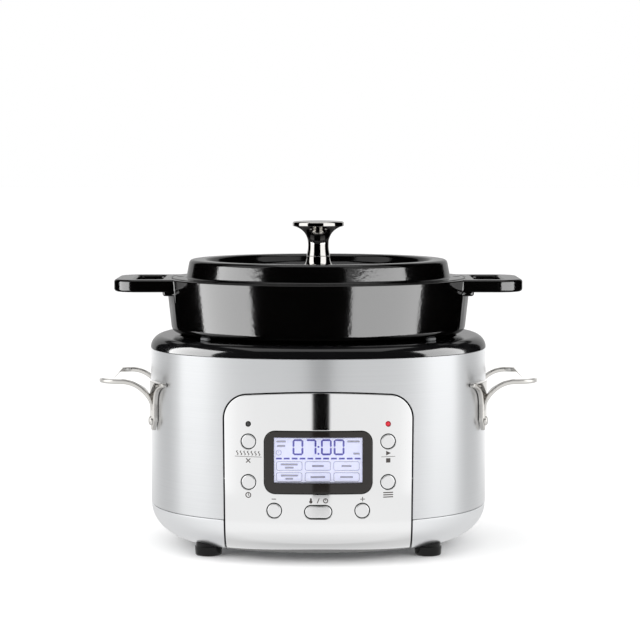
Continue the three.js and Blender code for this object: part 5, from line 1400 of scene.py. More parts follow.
@dataclass
class Controls:
    """What the fascia carries: display, buttons, lamps and printed marks."""

    casing: Casing = field(default_factory=Casing)
    bezel_z: float = 88.8
    window_z: float = 90.6
    window_width: float = 75.0
    window_height: float = 38.4
    button_radius: float = 5.95
    ring_gap: float = 0.6
    proud: float = 0.5
    panel_y: float = -138.5
    column_x: float = 59.1
    lamp_z: float = 120.8
    lamp_radius: float = 1.75
    bezel_size: Triple = (90.8, 52.6, 9.2)
    bezel_hole: Triple = (91.4, 53.2, 9.5)
    mark_depth: float = 0.1
    mark_gap: float = 0.12
    print_depth: float = 0.05
    print_height: float = 0.03
    stroke: float = 0.85
    digit_size: Pair = (9.1, 13.6)
    digit_half_bar: float = 0.8
    digit_gap: float = 0.15
    cap_depth: float = 4.0
    mode_size: Pair = (22.5, 10.5)
    buttons: dict[str, Pair] = field(
        default_factory=lambda: {
            "button_keep_warm": (-59.1, 105.9),
            "button_preset": (-59.1, 71.4),
            "button_start": (59.1, 105.9),
            "button_menu": (59.1, 71.4),
            "button_minus": (-37.2, 47.8),
            "button_plus": (37.2, 47.8),
            "button_mode": (0.0, 47.0),
        }
    )

    def outline(self, name: str, grow: float) -> np.ndarray:
        """Outline of a button's cap, grown by a margin."""
        x, z = self.buttons[name]
        if name == "button_mode":
            width, height = (size + 2 * grow for size in self.mode_size)
            return rounded_rect(width, height, height / 2, 16, x, z)
        return circle(self.button_radius + grow, x, z)

    def holes(self) -> list[np.ndarray]:
        """Returns the outlines of the holes in the fascia."""
        found = [self.outline(name, self.ring_gap) for name in self.buttons]
        found += [circle(self.lamp_radius + 0.3, side * self.column_x, self.lamp_z, 32) for side in (-1, 1)]
        found.append(rounded_rect(*self.bezel_hole, 16, 0.0, self.bezel_z))
        return [fill_steps(loop, 2.5) for loop in found]

    def build_buttons(self, workshop: Workshop) -> None:
        """Builds the caps, each on its own body."""
        for name in self.buttons:
            outline = self.outline(name, 0.0)
            face = self.casing.front(self.proud)
            cap = Panel(face, outline, self.cap_depth, edge=1.1, spacing=1.6, steps=6)
            workshop.piece(name.replace("button", "cap"), name, "button_metal", cap.build(), [name])

    def build_lamps(self, workshop: Workshop) -> None:
        """Builds the two indicator lamps."""
        for side, name, finish in ((-1, "left", "lamp_off"), (1, "right", "lamp_on")):
            outline = circle(self.lamp_radius, side * self.column_x, self.lamp_z, 32)
            dome = Panel(self.casing.front(self.proud), outline, 3.0, edge=1.1, spacing=1, steps=5)
            workshop.piece(f"indicator_{name}", "base", finish, dome.build(), [f"lamp_{name}"])

    def build_display(self, workshop: Workshop) -> None:
        """Builds the bezel, the window and the lit panel."""
        width, height, z = self.window_width, self.window_height, self.window_z
        front = self.casing.front(self.proud)
        outline = fill_steps(rounded_rect(*self.bezel_size, 16, 0.0, self.bezel_z), 2.5)
        window = fill_steps(rounded_rect(width, height, 0.6, 4, 0.0, z), 2.5)
        bezel = Panel(front, outline, 6.0, [window], edge=0.9, spacing=2.5, steps=5)
        workshop.piece("display_surround", "base", "smoked_bezel", bezel.build(), ["display_bezel"])
        pane = fill_steps(rounded_rect(width - 0.6, height - 0.6, 0.6, 4, 0.0, z), 3)
        glass = Panel(self.casing.front(-0.4), pane, 1.6, edge=0.15, spacing=4)
        workshop.piece("clear_pane", "base", "clear_window", glass.build(), ["display_window"])
        panel = Panel(upright_plane(self.panel_y), pane, 3.0, edge=0.2, spacing=8)
        workshop.piece("lit_panel", "base", "lit_display", panel.build(), ["lcd_panel"])

    def digit(self, segments: str, x: float, z: float) -> list[Shape]:
        """Builds one seven-segment digit.

        Args:
            segments: The letters of its lit segments, a to g.
            x: Its left edge.
            z: Its lower edge.

        Returns:
            A bar for each lit segment.
        """
        (width, height), h, gap = self.digit_size, self.digit_half_bar, self.digit_gap
        half = height / 2
        left, right, low, high = h, width - h, h, height - h
        spans = {
            "a": ((left, high), (right, high)),
            "d": ((left, low), (right, low)),
            "g": ((left, half), (right, half)),
            "f": ((left, half + gap), (left, high)),
            "b": ((right, half + gap), (right, high)),
            "e": ((left, low), (left, half - gap)),
            "c": ((right, low), (right, half - gap)),
        }
        found = []
        for letter in segments:
            (x0, z0), (x1, z1) = spans[letter]
            end = np.array([x1 - x0, z1 - z0])
            way = end / np.linalg.norm(end) * h
            side = np.array([way[1], -way[0]])
            start, end = np.array([x0, z0]), np.array([x1, z1])
            loop = [start, start + way + side, end - way + side, end, end - way - side, start + way - side]
            found.append(self.mark(np.array(loop) + [x, z]))
        return found

    def mark(self, loop: np.ndarray, holes: Sequence[np.ndarray] = (), y: float | None = None) -> Shape:
        """Builds a thin flat mark, in front of the lit panel where no other place is given."""
        plane = upright_plane(self.panel_y - self.mark_gap if y is None else y)
        return Panel(plane, loop, self.mark_depth, holes, edge=0.0, spacing=50).build()

    def build_readout(self, workshop: Workshop) -> None:
        """Builds what the display shows: a time, a row of dashes and plain option boxes."""
        y, z = self.panel_y - self.mark_gap, self.window_z
        shapes = []
        for segments, x in (("abcdef", -21.6), ("abc", -10.6), ("abcdef", 2.3), ("abcdef", 13.0)):
            shapes += self.digit(segments, x, z + 3.9)
        for height in (11.0, 5.1):
            shapes.append(self.mark(rounded_rect(1.5, 1.5, 0.3, 3, 0.2, z + height)))
        workshop.piece("time_digits", "base", "display_ink", merge(shapes))
        dash = self.mark(rounded_rect(4.9, 1.45, 0.2, 2), y=0.0)
        places = [(-33.1 + 6.62 * k, y, z + 1.1, 0.0) for k in range(11)]
        copies(workshop, "dash_row", "display_ink", dash, places)
        box = self.mark(rounded_rect(22.0, 7.9, 1.8, 6), [rounded_rect(20.9, 6.8, 1.3, 6)], 0.0)
        places = [(x, y, z + dz, 0.0) for dz in (-5.2, -14.6) for x in (-24.4, -0.3, 23.8)]
        copies(workshop, "option_boxes", "display_line", box, places)
        bars = []
        for x, dz, width in (
            (-24.4, -3.9, 14.5),
            (-24.4, -6.6, 7.5),
            (-0.3, -5.2, 10.0),
            (23.8, -5.2, 8.5),
            (-24.4, -13.3, 14.5),
            (-24.4, -16.0, 6.5),
            (-0.3, -14.6, 12.5),
            (23.8, -14.6, 11.0),
            (-31.2, 15.6, 8.0),
            (-31.2, 11.8, 7.0),
            (29.6, 15.6, 10.5),
            (32.2, 5.3, 5.6),
        ):
            bars.append(self.mark(rounded_rect(width, 1.7, 0.6, 4, x, z + dz)))
        bars.append(self.mark(circle(2.4, -33.2, z + 6.2, 32), [circle(1.9, -33.2, z + 6.2, 32)]))
        bars.append(self.mark(rounded_rect(0.5, 1.5, 0.15, 2, -33.2, z + 6.8)))
        workshop.piece("option_marks", "base", "display_faint", merge(bars))

    def printed(self, loop: np.ndarray, *holes: np.ndarray) -> Shape:
        """Prints a flat outline on the fascia, with the holes that it has."""
        face, outline = self.casing.front(self.print_height), fill_steps(loop, 2.0)
        return Panel(face, outline, self.print_depth, holes, edge=0.0, spacing=2.5).build()

    def build_print(self, workshop: Workshop) -> None:
        """Prints a plain pictogram by each button."""
        stroke, col = self.stroke, self.column_x
        marks = []
        for k in range(-3, 4):
            x, z = -col + 3.1 * k, 96.0
            shares = [t / 12 for t in range(13)]
            wave = [(x + 0.6 * math.sin(TAU * t) - stroke / 2, z - 1.9 + 3.8 * t) for t in shares]
            wave += [(px + stroke, pz) for px, pz in reversed(wave)]
            marks.append(self.printed(np.array(wave)))
        arm, tip = 2.1, 0.6
        cross = [(-arm, tip - arm), (tip - arm, -arm), (0, -tip)]
        cross += [(arm - tip, -arm), (arm, tip - arm), (tip, 0)]
        cross += [(-x, -z) for x, z in cross]
        play = [(-1.8, -2.0), (2.3, 0.0), (-1.8, 2.0)]
        slash = [(-1.3, -2.1), (-0.5, -2.1), (1.3, 2.1), (0.5, 2.1)]
        for loop, x, z in ((cross, -col, 89.7), (play, col, 96.0), (slash, 0.0, 56.5)):
            marks.append(self.printed(np.array(loop) + [x, z]))
        for radius, x, z in ((2.5, -col, 60.4), (2.2, 6.2, 56.5)):
            marks.append(self.printed(circle(radius, x, z, 32), circle(radius - stroke, x, z, 32)))
        marks.append(self.printed(circle(1.4, -6.2, 55.6, 24)))
        bars = [(23.0, 0.4, 0.18, 2, -col, 93.0), (12.0, 0.4, 0.18, 2, col, 93.0)]
        bars.append((3.7, 3.7, 0.3, 2, col, 89.8))
        bars += [(0.6, 1.6, 0.2, 2, -col, 61.0), (1.3, 0.6, 0.2, 2, -col + 0.35, 60.2)]
        bars += [(8.5, 0.9, 0.3, 2, col, 60.6 + 1.9 * k) for k in (-1, 0, 1)]
        bars += [(1.6, 3.0, 0.75, 4, -6.2, 57.3), (0.6, 1.4, 0.2, 2, 6.2, 57.0)]
        bars += [(3.9, 0.7, 0.2, 2, side * 37.4, 57.6) for side in (-1, 1)]
        bars += [(0.7, 1.5, 0.2, 2, 37.4, 57.6 + dz) for dz in (-1.15, 1.15)]
        marks += [self.printed(rounded_rect(*bar)) for bar in bars]
        workshop.piece("printed_marks", "base", "fascia_ink", merge(marks))

    def build(self, workshop: Workshop) -> None:
        """Builds the sub-assembly."""
        self.build_buttons(workshop)
        self.build_lamps(workshop)
        self.build_display(workshop)
        self.build_readout(workshop)
        self.build_print(workshop)
        workshop.dress("board_green", "control_board")


@dataclass
class SideHandle:
    """The polished loop handles with forked brackets, and their round bolts.

    Args:
        thin: Height where the grip's bar starts to thicken, its rise to the full size, and its least share.
        slim: The same for the bar's width.
    """

    casing: Casing = field(default_factory=Casing)
    gap: float = 0.3
    thickness: float = 4.3
    stem_y: float = 58.0
    stem_width: float = 12.0
    tip_z: float = 105.8
    tip_height: float = 9.5
    fork_z: float = 128.0
    fork_share: float = 0.7
    wing_run: float = 20.0
    wing_end: float = 1.9
    wing_top: float = 149.6
    top_z: float = 151.2
    reach: float = 193.5
    grip_width: float = 13.0
    corner: float = 22.0
    arm_root_z: float = 121.0
    arm_run: float = 26.0
    bolt_z: float = 114.5
    thin: Triple = (112, 30, 0.62)
    slim: Triple = (100, 40, 0.84)

    def bracket(self, sy: int) -> Shape:
        """One forked bracket, which hugs the casing at its front or rear end."""
        half = self.stem_width / 2
        inner, outer = self.stem_y - half, self.stem_y + half
        shoulder = self.tip_z + self.tip_height
        rise = self.wing_top - self.fork_z
        end = (outer + self.wing_run - self.wing_end, self.wing_top - self.wing_end)
        end = arc(end, self.wing_end, -73, 90, 12)
        edge = bezier((outer, self.fork_z), (outer, self.fork_z + rise * self.fork_share), end[0], 24)
        loop = [(self.stem_y, self.tip_z), (outer, shoulder), *edge, *end[1:]]
        loop += [(inner, self.wing_top), (inner, shoulder)]
        places = fill_steps(np.array([(sy * y, z) for y, z in loop]), 2.9)
        face = self.casing.side(self.gap + self.thickness)
        return Panel(face, places, self.thickness, edge=1.3, back_edge=0.4, spacing=2.0, steps=5).build()

    def strap(self) -> Shape:
        """The grip: a flat loop that sweeps down on to both stems."""
        face = self.casing.side_x(self.stem_y) + self.gap
        outer = face + self.thickness
        bend = outer + self.arm_run
        mid = self.thickness / 2
        low = self.top_z - self.thickness
        arm = []
        for angle in np.radians(np.linspace(180, 90, 30)):
            x = bend + (bend - outer + mid * 0.6) * math.cos(angle)
            z = self.arm_root_z + (low + mid - self.arm_root_z) * math.sin(angle)
            arm.append((x, z))
        root = self.tip_z + self.tip_height + 1.2
        stem = [(arm[0][0], z) for z in np.linspace(root, self.arm_root_z, 6)[:-1]]
        flat_x = self.reach - self.corner
        front = [(x, z) for x, z in [*stem, *arm] if x < flat_x - 0.2]
        half = self.stem_y + self.stem_width / 2 - self.grip_width / 2
        radius = self.corner - self.grip_width / 2
        path = [(x, -half, z) for x, z in front]
        flat_z = low + mid
        path += [(x, y, flat_z) for x, y in arc((flat_x, -half + radius), radius, -90, 0, 14)]
        path += [(flat_x + radius, y, flat_z) for y in np.linspace(-half + radius, half - radius, 24)[1:-1]]
        path += [(x, y, flat_z) for x, y in arc((flat_x, half - radius), radius, 0, 90, 14)]
        path += [(x, half, z) for x, z in reversed(front)]
        points = np.array(path)
        along = np.gradient(points, axis=0)
        along /= np.linalg.norm(along, axis=1, keepdims=True)
        side = np.cross(along, np.array([0, 0, 1.0]))
        upright = np.linalg.norm(side, axis=1) < 0.2
        fixed = np.where(points[:, 1:2] < 0, np.array([[0, -1.0, 0]]), np.array([[0, 1.0, 0]]))
        side = np.where(upright[:, None], fixed, side)
        side /= np.linalg.norm(side, axis=1, keepdims=True)
        up = np.cross(side, along)
        up /= np.linalg.norm(up, axis=1, keepdims=True)
        section = rounded_rect(self.grip_width, self.thickness, 1.7, 6)
        sections = np.repeat(section[None], len(points), axis=0)
        z, sizes = points[:, 2], (self.slim, self.thin)
        shares = [np.clip((z - low) / rise, least, 1.0) for low, rise, least in sizes]
        return sweep(points, side, up, sections * np.stack(shares, axis=1)[:, None, :])

    def build(self, workshop: Workshop) -> None:
        """Builds the sub-assembly."""
        brackets = [("UNION", self.bracket(sy)) for sy in (-1, 1)]
        whole = workshop.joined("handle", self.strap(), brackets, 40)
        # The handles and their bolts take the steel whose darker colour is painted shade.
        for name, turn in (("right", 0.0), ("left", math.pi)):
            mesh = whole.copy()
            if turn:
                mesh.transform(((-1, 0, 0, 0), (0, -1, 0, 0), (0, 0, 1, 0), (0, 0, 0, 1)))
            workshop.piece(f"loop_handle_{name}", "base", "shade_darkened_handle_steel", mesh, [f"handle_{name}"])
        dome = [(0, -8.0, 0), (2.2, -8.0, 0.3), (2.2, 4.9, 0), (4.2, 4.9, 0.3), (4.2, 5.6, 0.5)]
        bolt = lathe(filleted([*dome, (3.6, 6.7, 0.8), (2.0, 7.4, 0.8), (0, 7.5, 0)], 5), 40)
        bolt = Shape(bolt.points[:, [2, 0, 1]], bolt.faces).outward()
        places = []
        x = self.casing.side_x(self.stem_y)
        a, b, p = self.casing.half_width, self.casing.half_depth, self.casing.power
        slope = math.atan2((self.stem_y / b) ** (p - 1) / b, (x / a) ** (p - 1) / a)
        for sx, sy in CORNERS.values():
            angle = sy * slope if sx > 0 else math.pi - sy * slope
            places.append((sx * x, sy * self.stem_y, self.bolt_z, angle))
        copies(workshop, "handle_bolts", "shade_darkened_handle_steel", bolt, places, corner_nodes("handle_bolt"))
        workshop.dress("zinc_sheet", *corner_nodes("handle_nut"))


@dataclass
class Heater:
    """What lies under the pot: liner, hot plate and the sprung sensor.

    Args:
        element: The inner and outer radius of the groove for the element, and its depth.
        edge: Height of the plate's thin edge, and thickness of the sensor cap's top.
        travel: How far the sensor sinks; not used.
    """

    rim_top: float = 186.6
    hot_top: float = 107.1
    hot_low: float = 98.1
    belly: float = 115.5
    radius: float = 84.0
    well: float = 124.0
    collar_depth: float = 14.0
    gap: float = 0.3
    sheet: float = 1.0
    dish_bore: float = 80.0
    dish_flat: float = 88.0
    dish_drop: float = 3.3
    dish_rise: float = 25.3
    dish_lip: float = 8.0
    bore: float = 13.8
    groove_count: int = 7
    groove_start: float = 22.0
    groove_step: float = 9.0
    groove_half: float = 0.9
    groove_depth: float = 0.5
    skirt: float = 79.7
    edge: float = 3.0
    element: Triple = (58.5, 65.5, 6.7)
    cap_radius: float = 13.0
    cap_depth: float = 7.0
    coil_radius: float = 7.0
    wire: float = 0.7
    turns: float = 4.0
    travel: float = 1.5

    def build_dish(self, workshop: Workshop) -> None:
        """Builds the liner of the well, from the hot plate up to the rim's collar."""
        flange, sheet = self.rim_top - self.collar_depth - self.gap, self.sheet
        low, rise = self.hot_top - self.dish_drop, self.hot_top + self.dish_rise
        bore, flat, edge = self.dish_bore, self.dish_flat, self.well + self.dish_lip
        profile = [(bore, low), (flat, low)]
        profile += bezier((flat, low), (self.belly - sheet, low), (self.belly, rise), 12)[1:]
        profile += [(self.well, flange - sheet), (self.well, flange), (edge, flange), (edge, flange - sheet)]
        profile += [(self.well + sheet, flange - sheet)]
        profile += bezier((self.belly + sheet, rise), (self.belly, low - sheet), (flat, low - sheet), 12)
        dish = lathe([*profile, (bore, low - sheet)], 144)
        workshop.piece("well_dish", "base", "zinc_sheet", dish, ["inner_liner"])

    def build_plate(self, workshop: Workshop) -> None:
        """Builds the hot plate, with rings in its top and a groove below, and the sensor's cap."""
        top, low, bore, half = self.hot_top, self.hot_low, self.bore, self.groove_half
        inner, outer, depth = self.element
        plate = [(bore, top, 0), (bore + 1.0, top, 0.6)]
        for k in range(self.groove_count):
            r = self.groove_start + self.groove_step * k
            plate += [(r - half, top, 0.3), (r, top - self.groove_depth, 0.3), (r + half, top, 0.3)]
        skirt, edge, roof = self.skirt, top - self.edge, low + depth
        plate += [(self.radius, top, 1.0), (self.radius, edge, 0.4), (skirt, edge, 0)]
        plate += [(skirt, low + 0.3, 0.5), (outer, low, 0), (outer, roof, 0), (inner, roof, 0)]
        plate += [(inner, low, 0), (bore, low, 0)]
        shape = lathe(filleted(plate, 3), 128)
        workshop.piece("hot_plate", "base", "cast_aluminium", shape, ["heater_plate"])
        wide, depth, wall = self.cap_radius, self.cap_depth, self.edge
        cap = [(0, top, 0), (wide - 0.8, top, 0), (wide, top, 1.6), (wide, top - depth, 0.2)]
        cap += [(wide - 1, top - depth, 0.2), (wide - 1, top - wall, 0.4), (0, top - wall, 0)]
        shape = lathe(filleted(cap, 5), 64)
        workshop.piece("sensor_cap", "sensor", "cast_aluminium", shape, ["temperature_sensor"])

    def build_spring(self, workshop: Workshop) -> None:
        """Winds the sensor's spring to the height of its node in the frame."""
        low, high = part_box("sensor_spring")
        wire = self.wire * MM
        sizes = {
            "Radius": self.coil_radius * MM,
            "Height": high.z - low.z - 2 * wire,
            "Turns": self.turns,
            "Wire": wire,
            "Foot": low.z + wire,
        }
        tree = GeometryTree("wound_spring", sizes)
        given = tree.given
        sockets = {
            "Resolution": 40,
            "Rotations": given["Turns"],
            "Start Radius": given["Radius"],
            "End Radius": given["Radius"],
            "Height": given["Height"],
        }
        coil = tree.node("GeometryNodeCurveSpiral", sockets)
        section = tree.node("GeometryNodeCurvePrimitiveCircle", {"Resolution": 10, "Radius": given["Wire"]})
        sockets = {"Curve": coil.outputs[0], "Profile Curve": section.outputs[0], "Fill Caps": True}
        wound = tree.node("GeometryNodeCurveToMesh", sockets)
        lift = tree.node("ShaderNodeCombineXYZ", {"Z": given["Foot"]})
        sockets = {"Geometry": wound.outputs[0], "Translation": lift.outputs[0]}
        placed = tree.node("GeometryNodeTransform", sockets)
        tree.close(placed.outputs[0], workshop.paints.material("zinc_sheet"))
        mesh = tree.mesh("coil_spring", bpy.data.meshes.new("coil_spring"))
        spring = workshop.piece("coil_spring", "base", "zinc_sheet", mesh, ["sensor_spring"])
        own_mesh(spring)

    def build(self, workshop: Workshop) -> None:
        """Builds the sub-assembly."""
        self.build_dish(workshop)
        self.build_plate(workshop)
        self.build_spring(workshop)
        workshop.dress("zinc_sheet", "heating_element", "sensor_bracket")
        workshop.dress("brass", "thermal_fuse")


@dataclass
class CastPot:
    """The enamelled pot with its stepped band and two cast-on loop handles."""

    low: float = 107.4
    height: float = 130.0
    foot: float = 85.0
    belly: float = 113.0
    belly_z: float = 25.0
    shoulder: float = 121.5
    ledge_z: float = 82.0
    band: float = 131.4
    rim: float = 136.5
    lip: float = 131.3
    mouth: float = 127.3
    wall: float = 4.0
    floor: float = 4.5
    handle_reach: float = 44.5
    handle_width: float = 98.0
    handle_thickness: float = 11.0
    handle_corner: float = 22.0
    handle_edge: float = 2.6
    handle_root: float = 46.0
    bar_width: float = 18.0
    window_gap: float = 2.8
    window_ends: float = 25.0
    window_corner: float = 5.0
    gusset_length: float = 60.0
    gusset_past: float = 9.0
    gusset_height: float = 8.0
    gusset_depth: float = 3.5
    lip_run: float = 2.4
    segments: int = 224

    def outside(self) -> list[Pair]:
        """Profile of the outside, from the middle of the foot to the lip."""
        profile = [(0.0, 0.0)]
        lean = (self.belly - self.wall, self.wall / 2)
        profile += bezier((self.foot, 0.0), lean, (self.belly, self.belly_z), 20)
        tail = [
            (self.belly, self.belly_z, 0),
            (self.shoulder, self.ledge_z - 1.4, 1.2),
            (self.band, self.ledge_z + 0.4, 5.5),
            (self.rim, self.height - 0.3, 1.6),
            (self.rim - self.lip_run, self.height, 0),
        ]
        return profile + filleted(tail, 8)[1:]

    def inside(self) -> list[Pair]:
        """Profile of the inside, from the lip down to the middle of the floor."""
        foot, belly = self.foot - self.wall, self.belly - self.wall
        head = [
            (self.rim - self.lip_run, self.height, 0),
            (self.lip, self.height - 0.2, 1.2),
            (self.lip, self.height - 2.6, 0.4),
            (self.mouth, self.height - 2.6, 1.0),
            (self.band - self.wall, self.ledge_z + 9.5, 6.0),
            (self.shoulder - self.wall, self.ledge_z, 5.0),
            (belly, self.belly_z, 0),
        ]
        profile = filleted(head, 6)
        lean = (belly - self.wall, self.floor + self.wall / 2)
        profile += bezier((belly, self.belly_z), lean, (foot, self.floor), 16)[1:]
        return [*profile[1:], (0.0, self.floor)]

    def handle(self) -> Shape:
        """One loop handle at +X, before the bowl is joined to it."""
        reach = self.rim + self.handle_reach
        half, corner = self.handle_width / 2, self.handle_corner
        root = self.mouth + 3.2 - self.handle_root
        loop = [(root, -half), *arc((reach - corner, corner - half), corner, -90, 0, 16)]
        loop += [*arc((reach - corner, half - corner), corner, 0, 90, 16), (root, half)]
        near, far = self.rim + self.window_gap, reach - self.bar_width
        window = rounded_rect(far - near, self.handle_width - self.window_ends, self.window_corner, 8)
        window = window + [(near + far) / 2, 0]
        outline, hole = fill_steps(np.array(loop), 4.0), fill_steps(window, 3.0)
        plane, edge = flat_plane(self.low + self.height - 0.05), self.handle_edge
        plate = Panel(plane, outline, self.handle_thickness, [hole], edge, edge, spacing=5.0, steps=6)
        return plate.build()

    def gusset(self, sy: int) -> Shape:
        """The thicker root under one bar of a handle."""
        outer, inner = self.handle_width / 2 - 1.6, self.handle_width / 2 - 10.9
        x = math.sqrt(self.rim**2 - outer**2)
        low = self.low + self.height - self.handle_thickness - self.gusset_depth
        middle = sy * (outer + inner) / 2
        length, height = self.gusset_length, self.gusset_height
        loop = rounded_rect(length, outer - inner, 3.0, 6) + [x + self.gusset_past - length / 2, middle]
        plane, loop = flat_plane(low + height), fill_steps(loop, 4)
        return Panel(plane, loop, height, edge=0.0, back_edge=2.2, spacing=4.0, steps=5).build()

    def build(self, workshop: Workshop) -> bpy.types.Object:
        """Builds the sub-assembly and returns the pot."""
        inside = [(r, z + self.low) for r, z in self.inside()]
        bowl = lathe([*((r, z + self.low) for r, z in self.outside()), *inside], self.segments)
        above = self.low + self.height + 9
        hollow = lathe([(0.0, above), (self.lip, above), *inside], self.segments)
        parts: list[tuple[str, Shape]] = []
        for turn in (0.0, math.pi):
            for part in (self.handle(), self.gusset(-1), self.gusset(1)):
                parts.append(("UNION", part.turned(turn)))
        mesh = workshop.joined("cast_pot", bowl, [*parts, ("DIFFERENCE", hollow)], 32)
        return workshop.piece("cast_pot", "pot", "black_enamel", mesh, ["pot"])


@dataclass
class Lid:
    """The enamelled lid with its raised ring, and the knob on its flared collar."""

    rebate_z: float = 235.1
    flange: float = 130.6
    drum_foot: float = 118.3
    drum_top: float = 115.7
    ring_inner: float = 99.5
    ring_top: float = 253.7
    recess_z: float = 243.3
    mouth: float = 127.3
    notch_radius: float = 3.4
    notch_depth: float = 6.0
    bore: float = 2.8
    neck: float = 10.6
    collar_radius: float = 22.5
    collar_top: float = 13.0
    knob_radius: float = 23.1
    knob_top: float = 45.0
    knob_disc: float = 5.4
    gap: float = 0.3
    segments: int = 224

    def profile(self) -> list[Pair]:
        """Outline of the lid, from the middle of its top round to the middle of its underside."""
        low, top = self.rebate_z, self.rebate_z + 2.6
        spigot = self.mouth - 2.5
        corners = [
            (0, self.recess_z, 0),
            (self.ring_inner - 2.4, self.recess_z, 6.0),
            (self.ring_inner + 1.2, self.ring_top - 0.1, 2.8),
            (self.drum_top - 0.4, self.ring_top, 3.6),
            (self.drum_foot, top + 0.1, 1.8),
            (self.flange, top, 1.0),
            (self.flange, low, 0.3),
            (spigot, low, 0.5),
            (spigot - 0.9, low - 6, 1.0),
            (spigot - 3.5, low - 6, 1.0),
            (self.drum_foot - 4, low, 1.0),
            (self.drum_top - 4, self.ring_top - 4, 2.0),
            (self.ring_inner + 4, self.ring_top - 4, 2.0),
            (self.ring_inner + 2, self.recess_z - 4, 2.0),
            (0, self.recess_z - 4, 0),
        ]
        return filleted(corners, 8)

    def build(self, workshop: Workshop) -> bpy.types.Object:
        """Builds the sub-assembly and returns the lid."""
        body = lathe(self.profile(), self.segments)
        radius, depth, bore = self.notch_radius, self.notch_depth, self.bore
        notch = lathe([(0, 0), (radius, 0), (radius, depth), (0, depth)], 32)
        place = self.drum_foot + radius + 2.4
        cuts = [("DIFFERENCE", notch.moved(sx * place, 0, self.rebate_z + 1.4)) for sx in (-1, 1)]
        hole = lathe([(0, 0), (bore, 0), (bore, 8), (0, 8)], 32).moved(0, 0, self.recess_z - 6)
        mesh = workshop.joined("cast_lid", body, [*cuts, ("DIFFERENCE", hole)], 32)
        lid = workshop.piece("cast_lid", "lid", "black_enamel", mesh, ["lid"])
        low, top = self.recess_z + self.gap, self.recess_z + self.collar_top
        wide, neck = self.collar_radius, self.neck
        flare = [(bore, low), (wide - 0.2, low), (wide, low + 0.2), (wide, low + 0.8)]
        flare.append((wide - 0.3, low + 1.2))
        flare += bezier((wide - 1.2, low + 1.5), (neck, low + 1.6), (neck, top - 0.3), 18)
        flare += [(neck - 0.3, top), (bore, top)]
        # The collar and the knob take the steel whose darker colour is painted shade.
        workshop.piece("flared_collar", "lid", "shade_darkened_collar_steel", lathe(flare, 96), ["knob_collar"], 40)
        low, top, wide = top + self.gap, self.recess_z + self.knob_top, self.knob_radius
        disc = top - self.knob_disc
        spool = [(0.0, low + 12.0), (bore, low + 12.0), (bore, low), (neck - 0.3, low), (neck, low + 0.3)]
        spool += bezier((neck, low + 0.4), (9.0, low + 6.0), (9.4, low + 11.5), 14)[1:]
        spool += bezier((9.4, low + 11.5), (9.9, disc - 3.6), (wide - 1.7, disc - 0.1), 24)[1:]
        edge = [(wide - 1.7, disc - 0.1, 0), (wide, disc + 0.5, 0.5), (wide, top - 1.7, 0.9)]
        edge += [(wide - 1.5, top - 0.8, 1.2), (10.0, top - 0.1, 6.0), (0, top, 0)]
        spool += filleted(edge, 6)[1:]
        workshop.piece("polished_knob", "lid", "shade_darkened_collar_steel", lathe(spool, 96), ["lid_knob"], 40)
        workshop.dress("zinc_sheet", "knob_screw", "knob_washer")
        return lid


# Studio

TENT_LIGHT = (
    (0, 0.0),
    (2.45, 0.0),
    (2.8, 0.93),
    (31, 0.95),
    (42, 1.0),
    (52, 1.13),
    (62, 1.36),
    (70, 1.62),
    (93, 1.68),
    (100, 1.1),
    (112, 0.75),
    (128, 0.8),
    (140, 1.0),
    (165, 1.35),
    (180, 1.4),
)
TABLE_LIGHT = ((0, 0.93), (0.25, 1.02), (0.5, 1.02), (0.66, 1.0), (0.79, 0.92), (0.92, 0.86), (1, 0.76))
TABLE_TURN = ((0, 1.0), (60, 1.0), (110, 0.8), (180, 0.8))
TENT_REACH = ((0, 0.6), (55, 0.6), (70, 1.4), (100, 1.4), (115, 0.7), (180, 0.7))
REFLECTIONS_ONLY = ("camera", "diffuse", "transmission", "shadow", "volume_scatter")


@dataclass(frozen=True)
class Window:
    """An upright window of light that only some pieces reflect, between two angles from the front."""

    start: float
    end: float
    level: float
    reach: float = 0.9
    low: float = -0.3
    top: float = 1.2


LEFT, RIGHT, BEHIND = (-94.3, -48.2), (23.3, 78.3), (140.0, 220.0)
WINDOWS = {
    "enamel": (
        Window(*LEFT, 9.3, top=0.51),
        Window(*RIGHT, 8.5, top=0.51),
        Window(*LEFT, 0.9, low=0.51),
        Window(*RIGHT, 0.9, low=0.51),
        Window(*BEHIND, 0.5, 1.2),
    ),
    "lacquer": (
        Window(-112.0, -62.0, 12.0, 1.2),
        Window(63.0, 107.0, 9.0, 1.2),
        Window(*BEHIND, 0.5, 1.2),
    ),
    "chrome": (Window(*LEFT, 1.6), Window(*RIGHT, 1.5), Window(*BEHIND, 0.6, 1.2)),
}


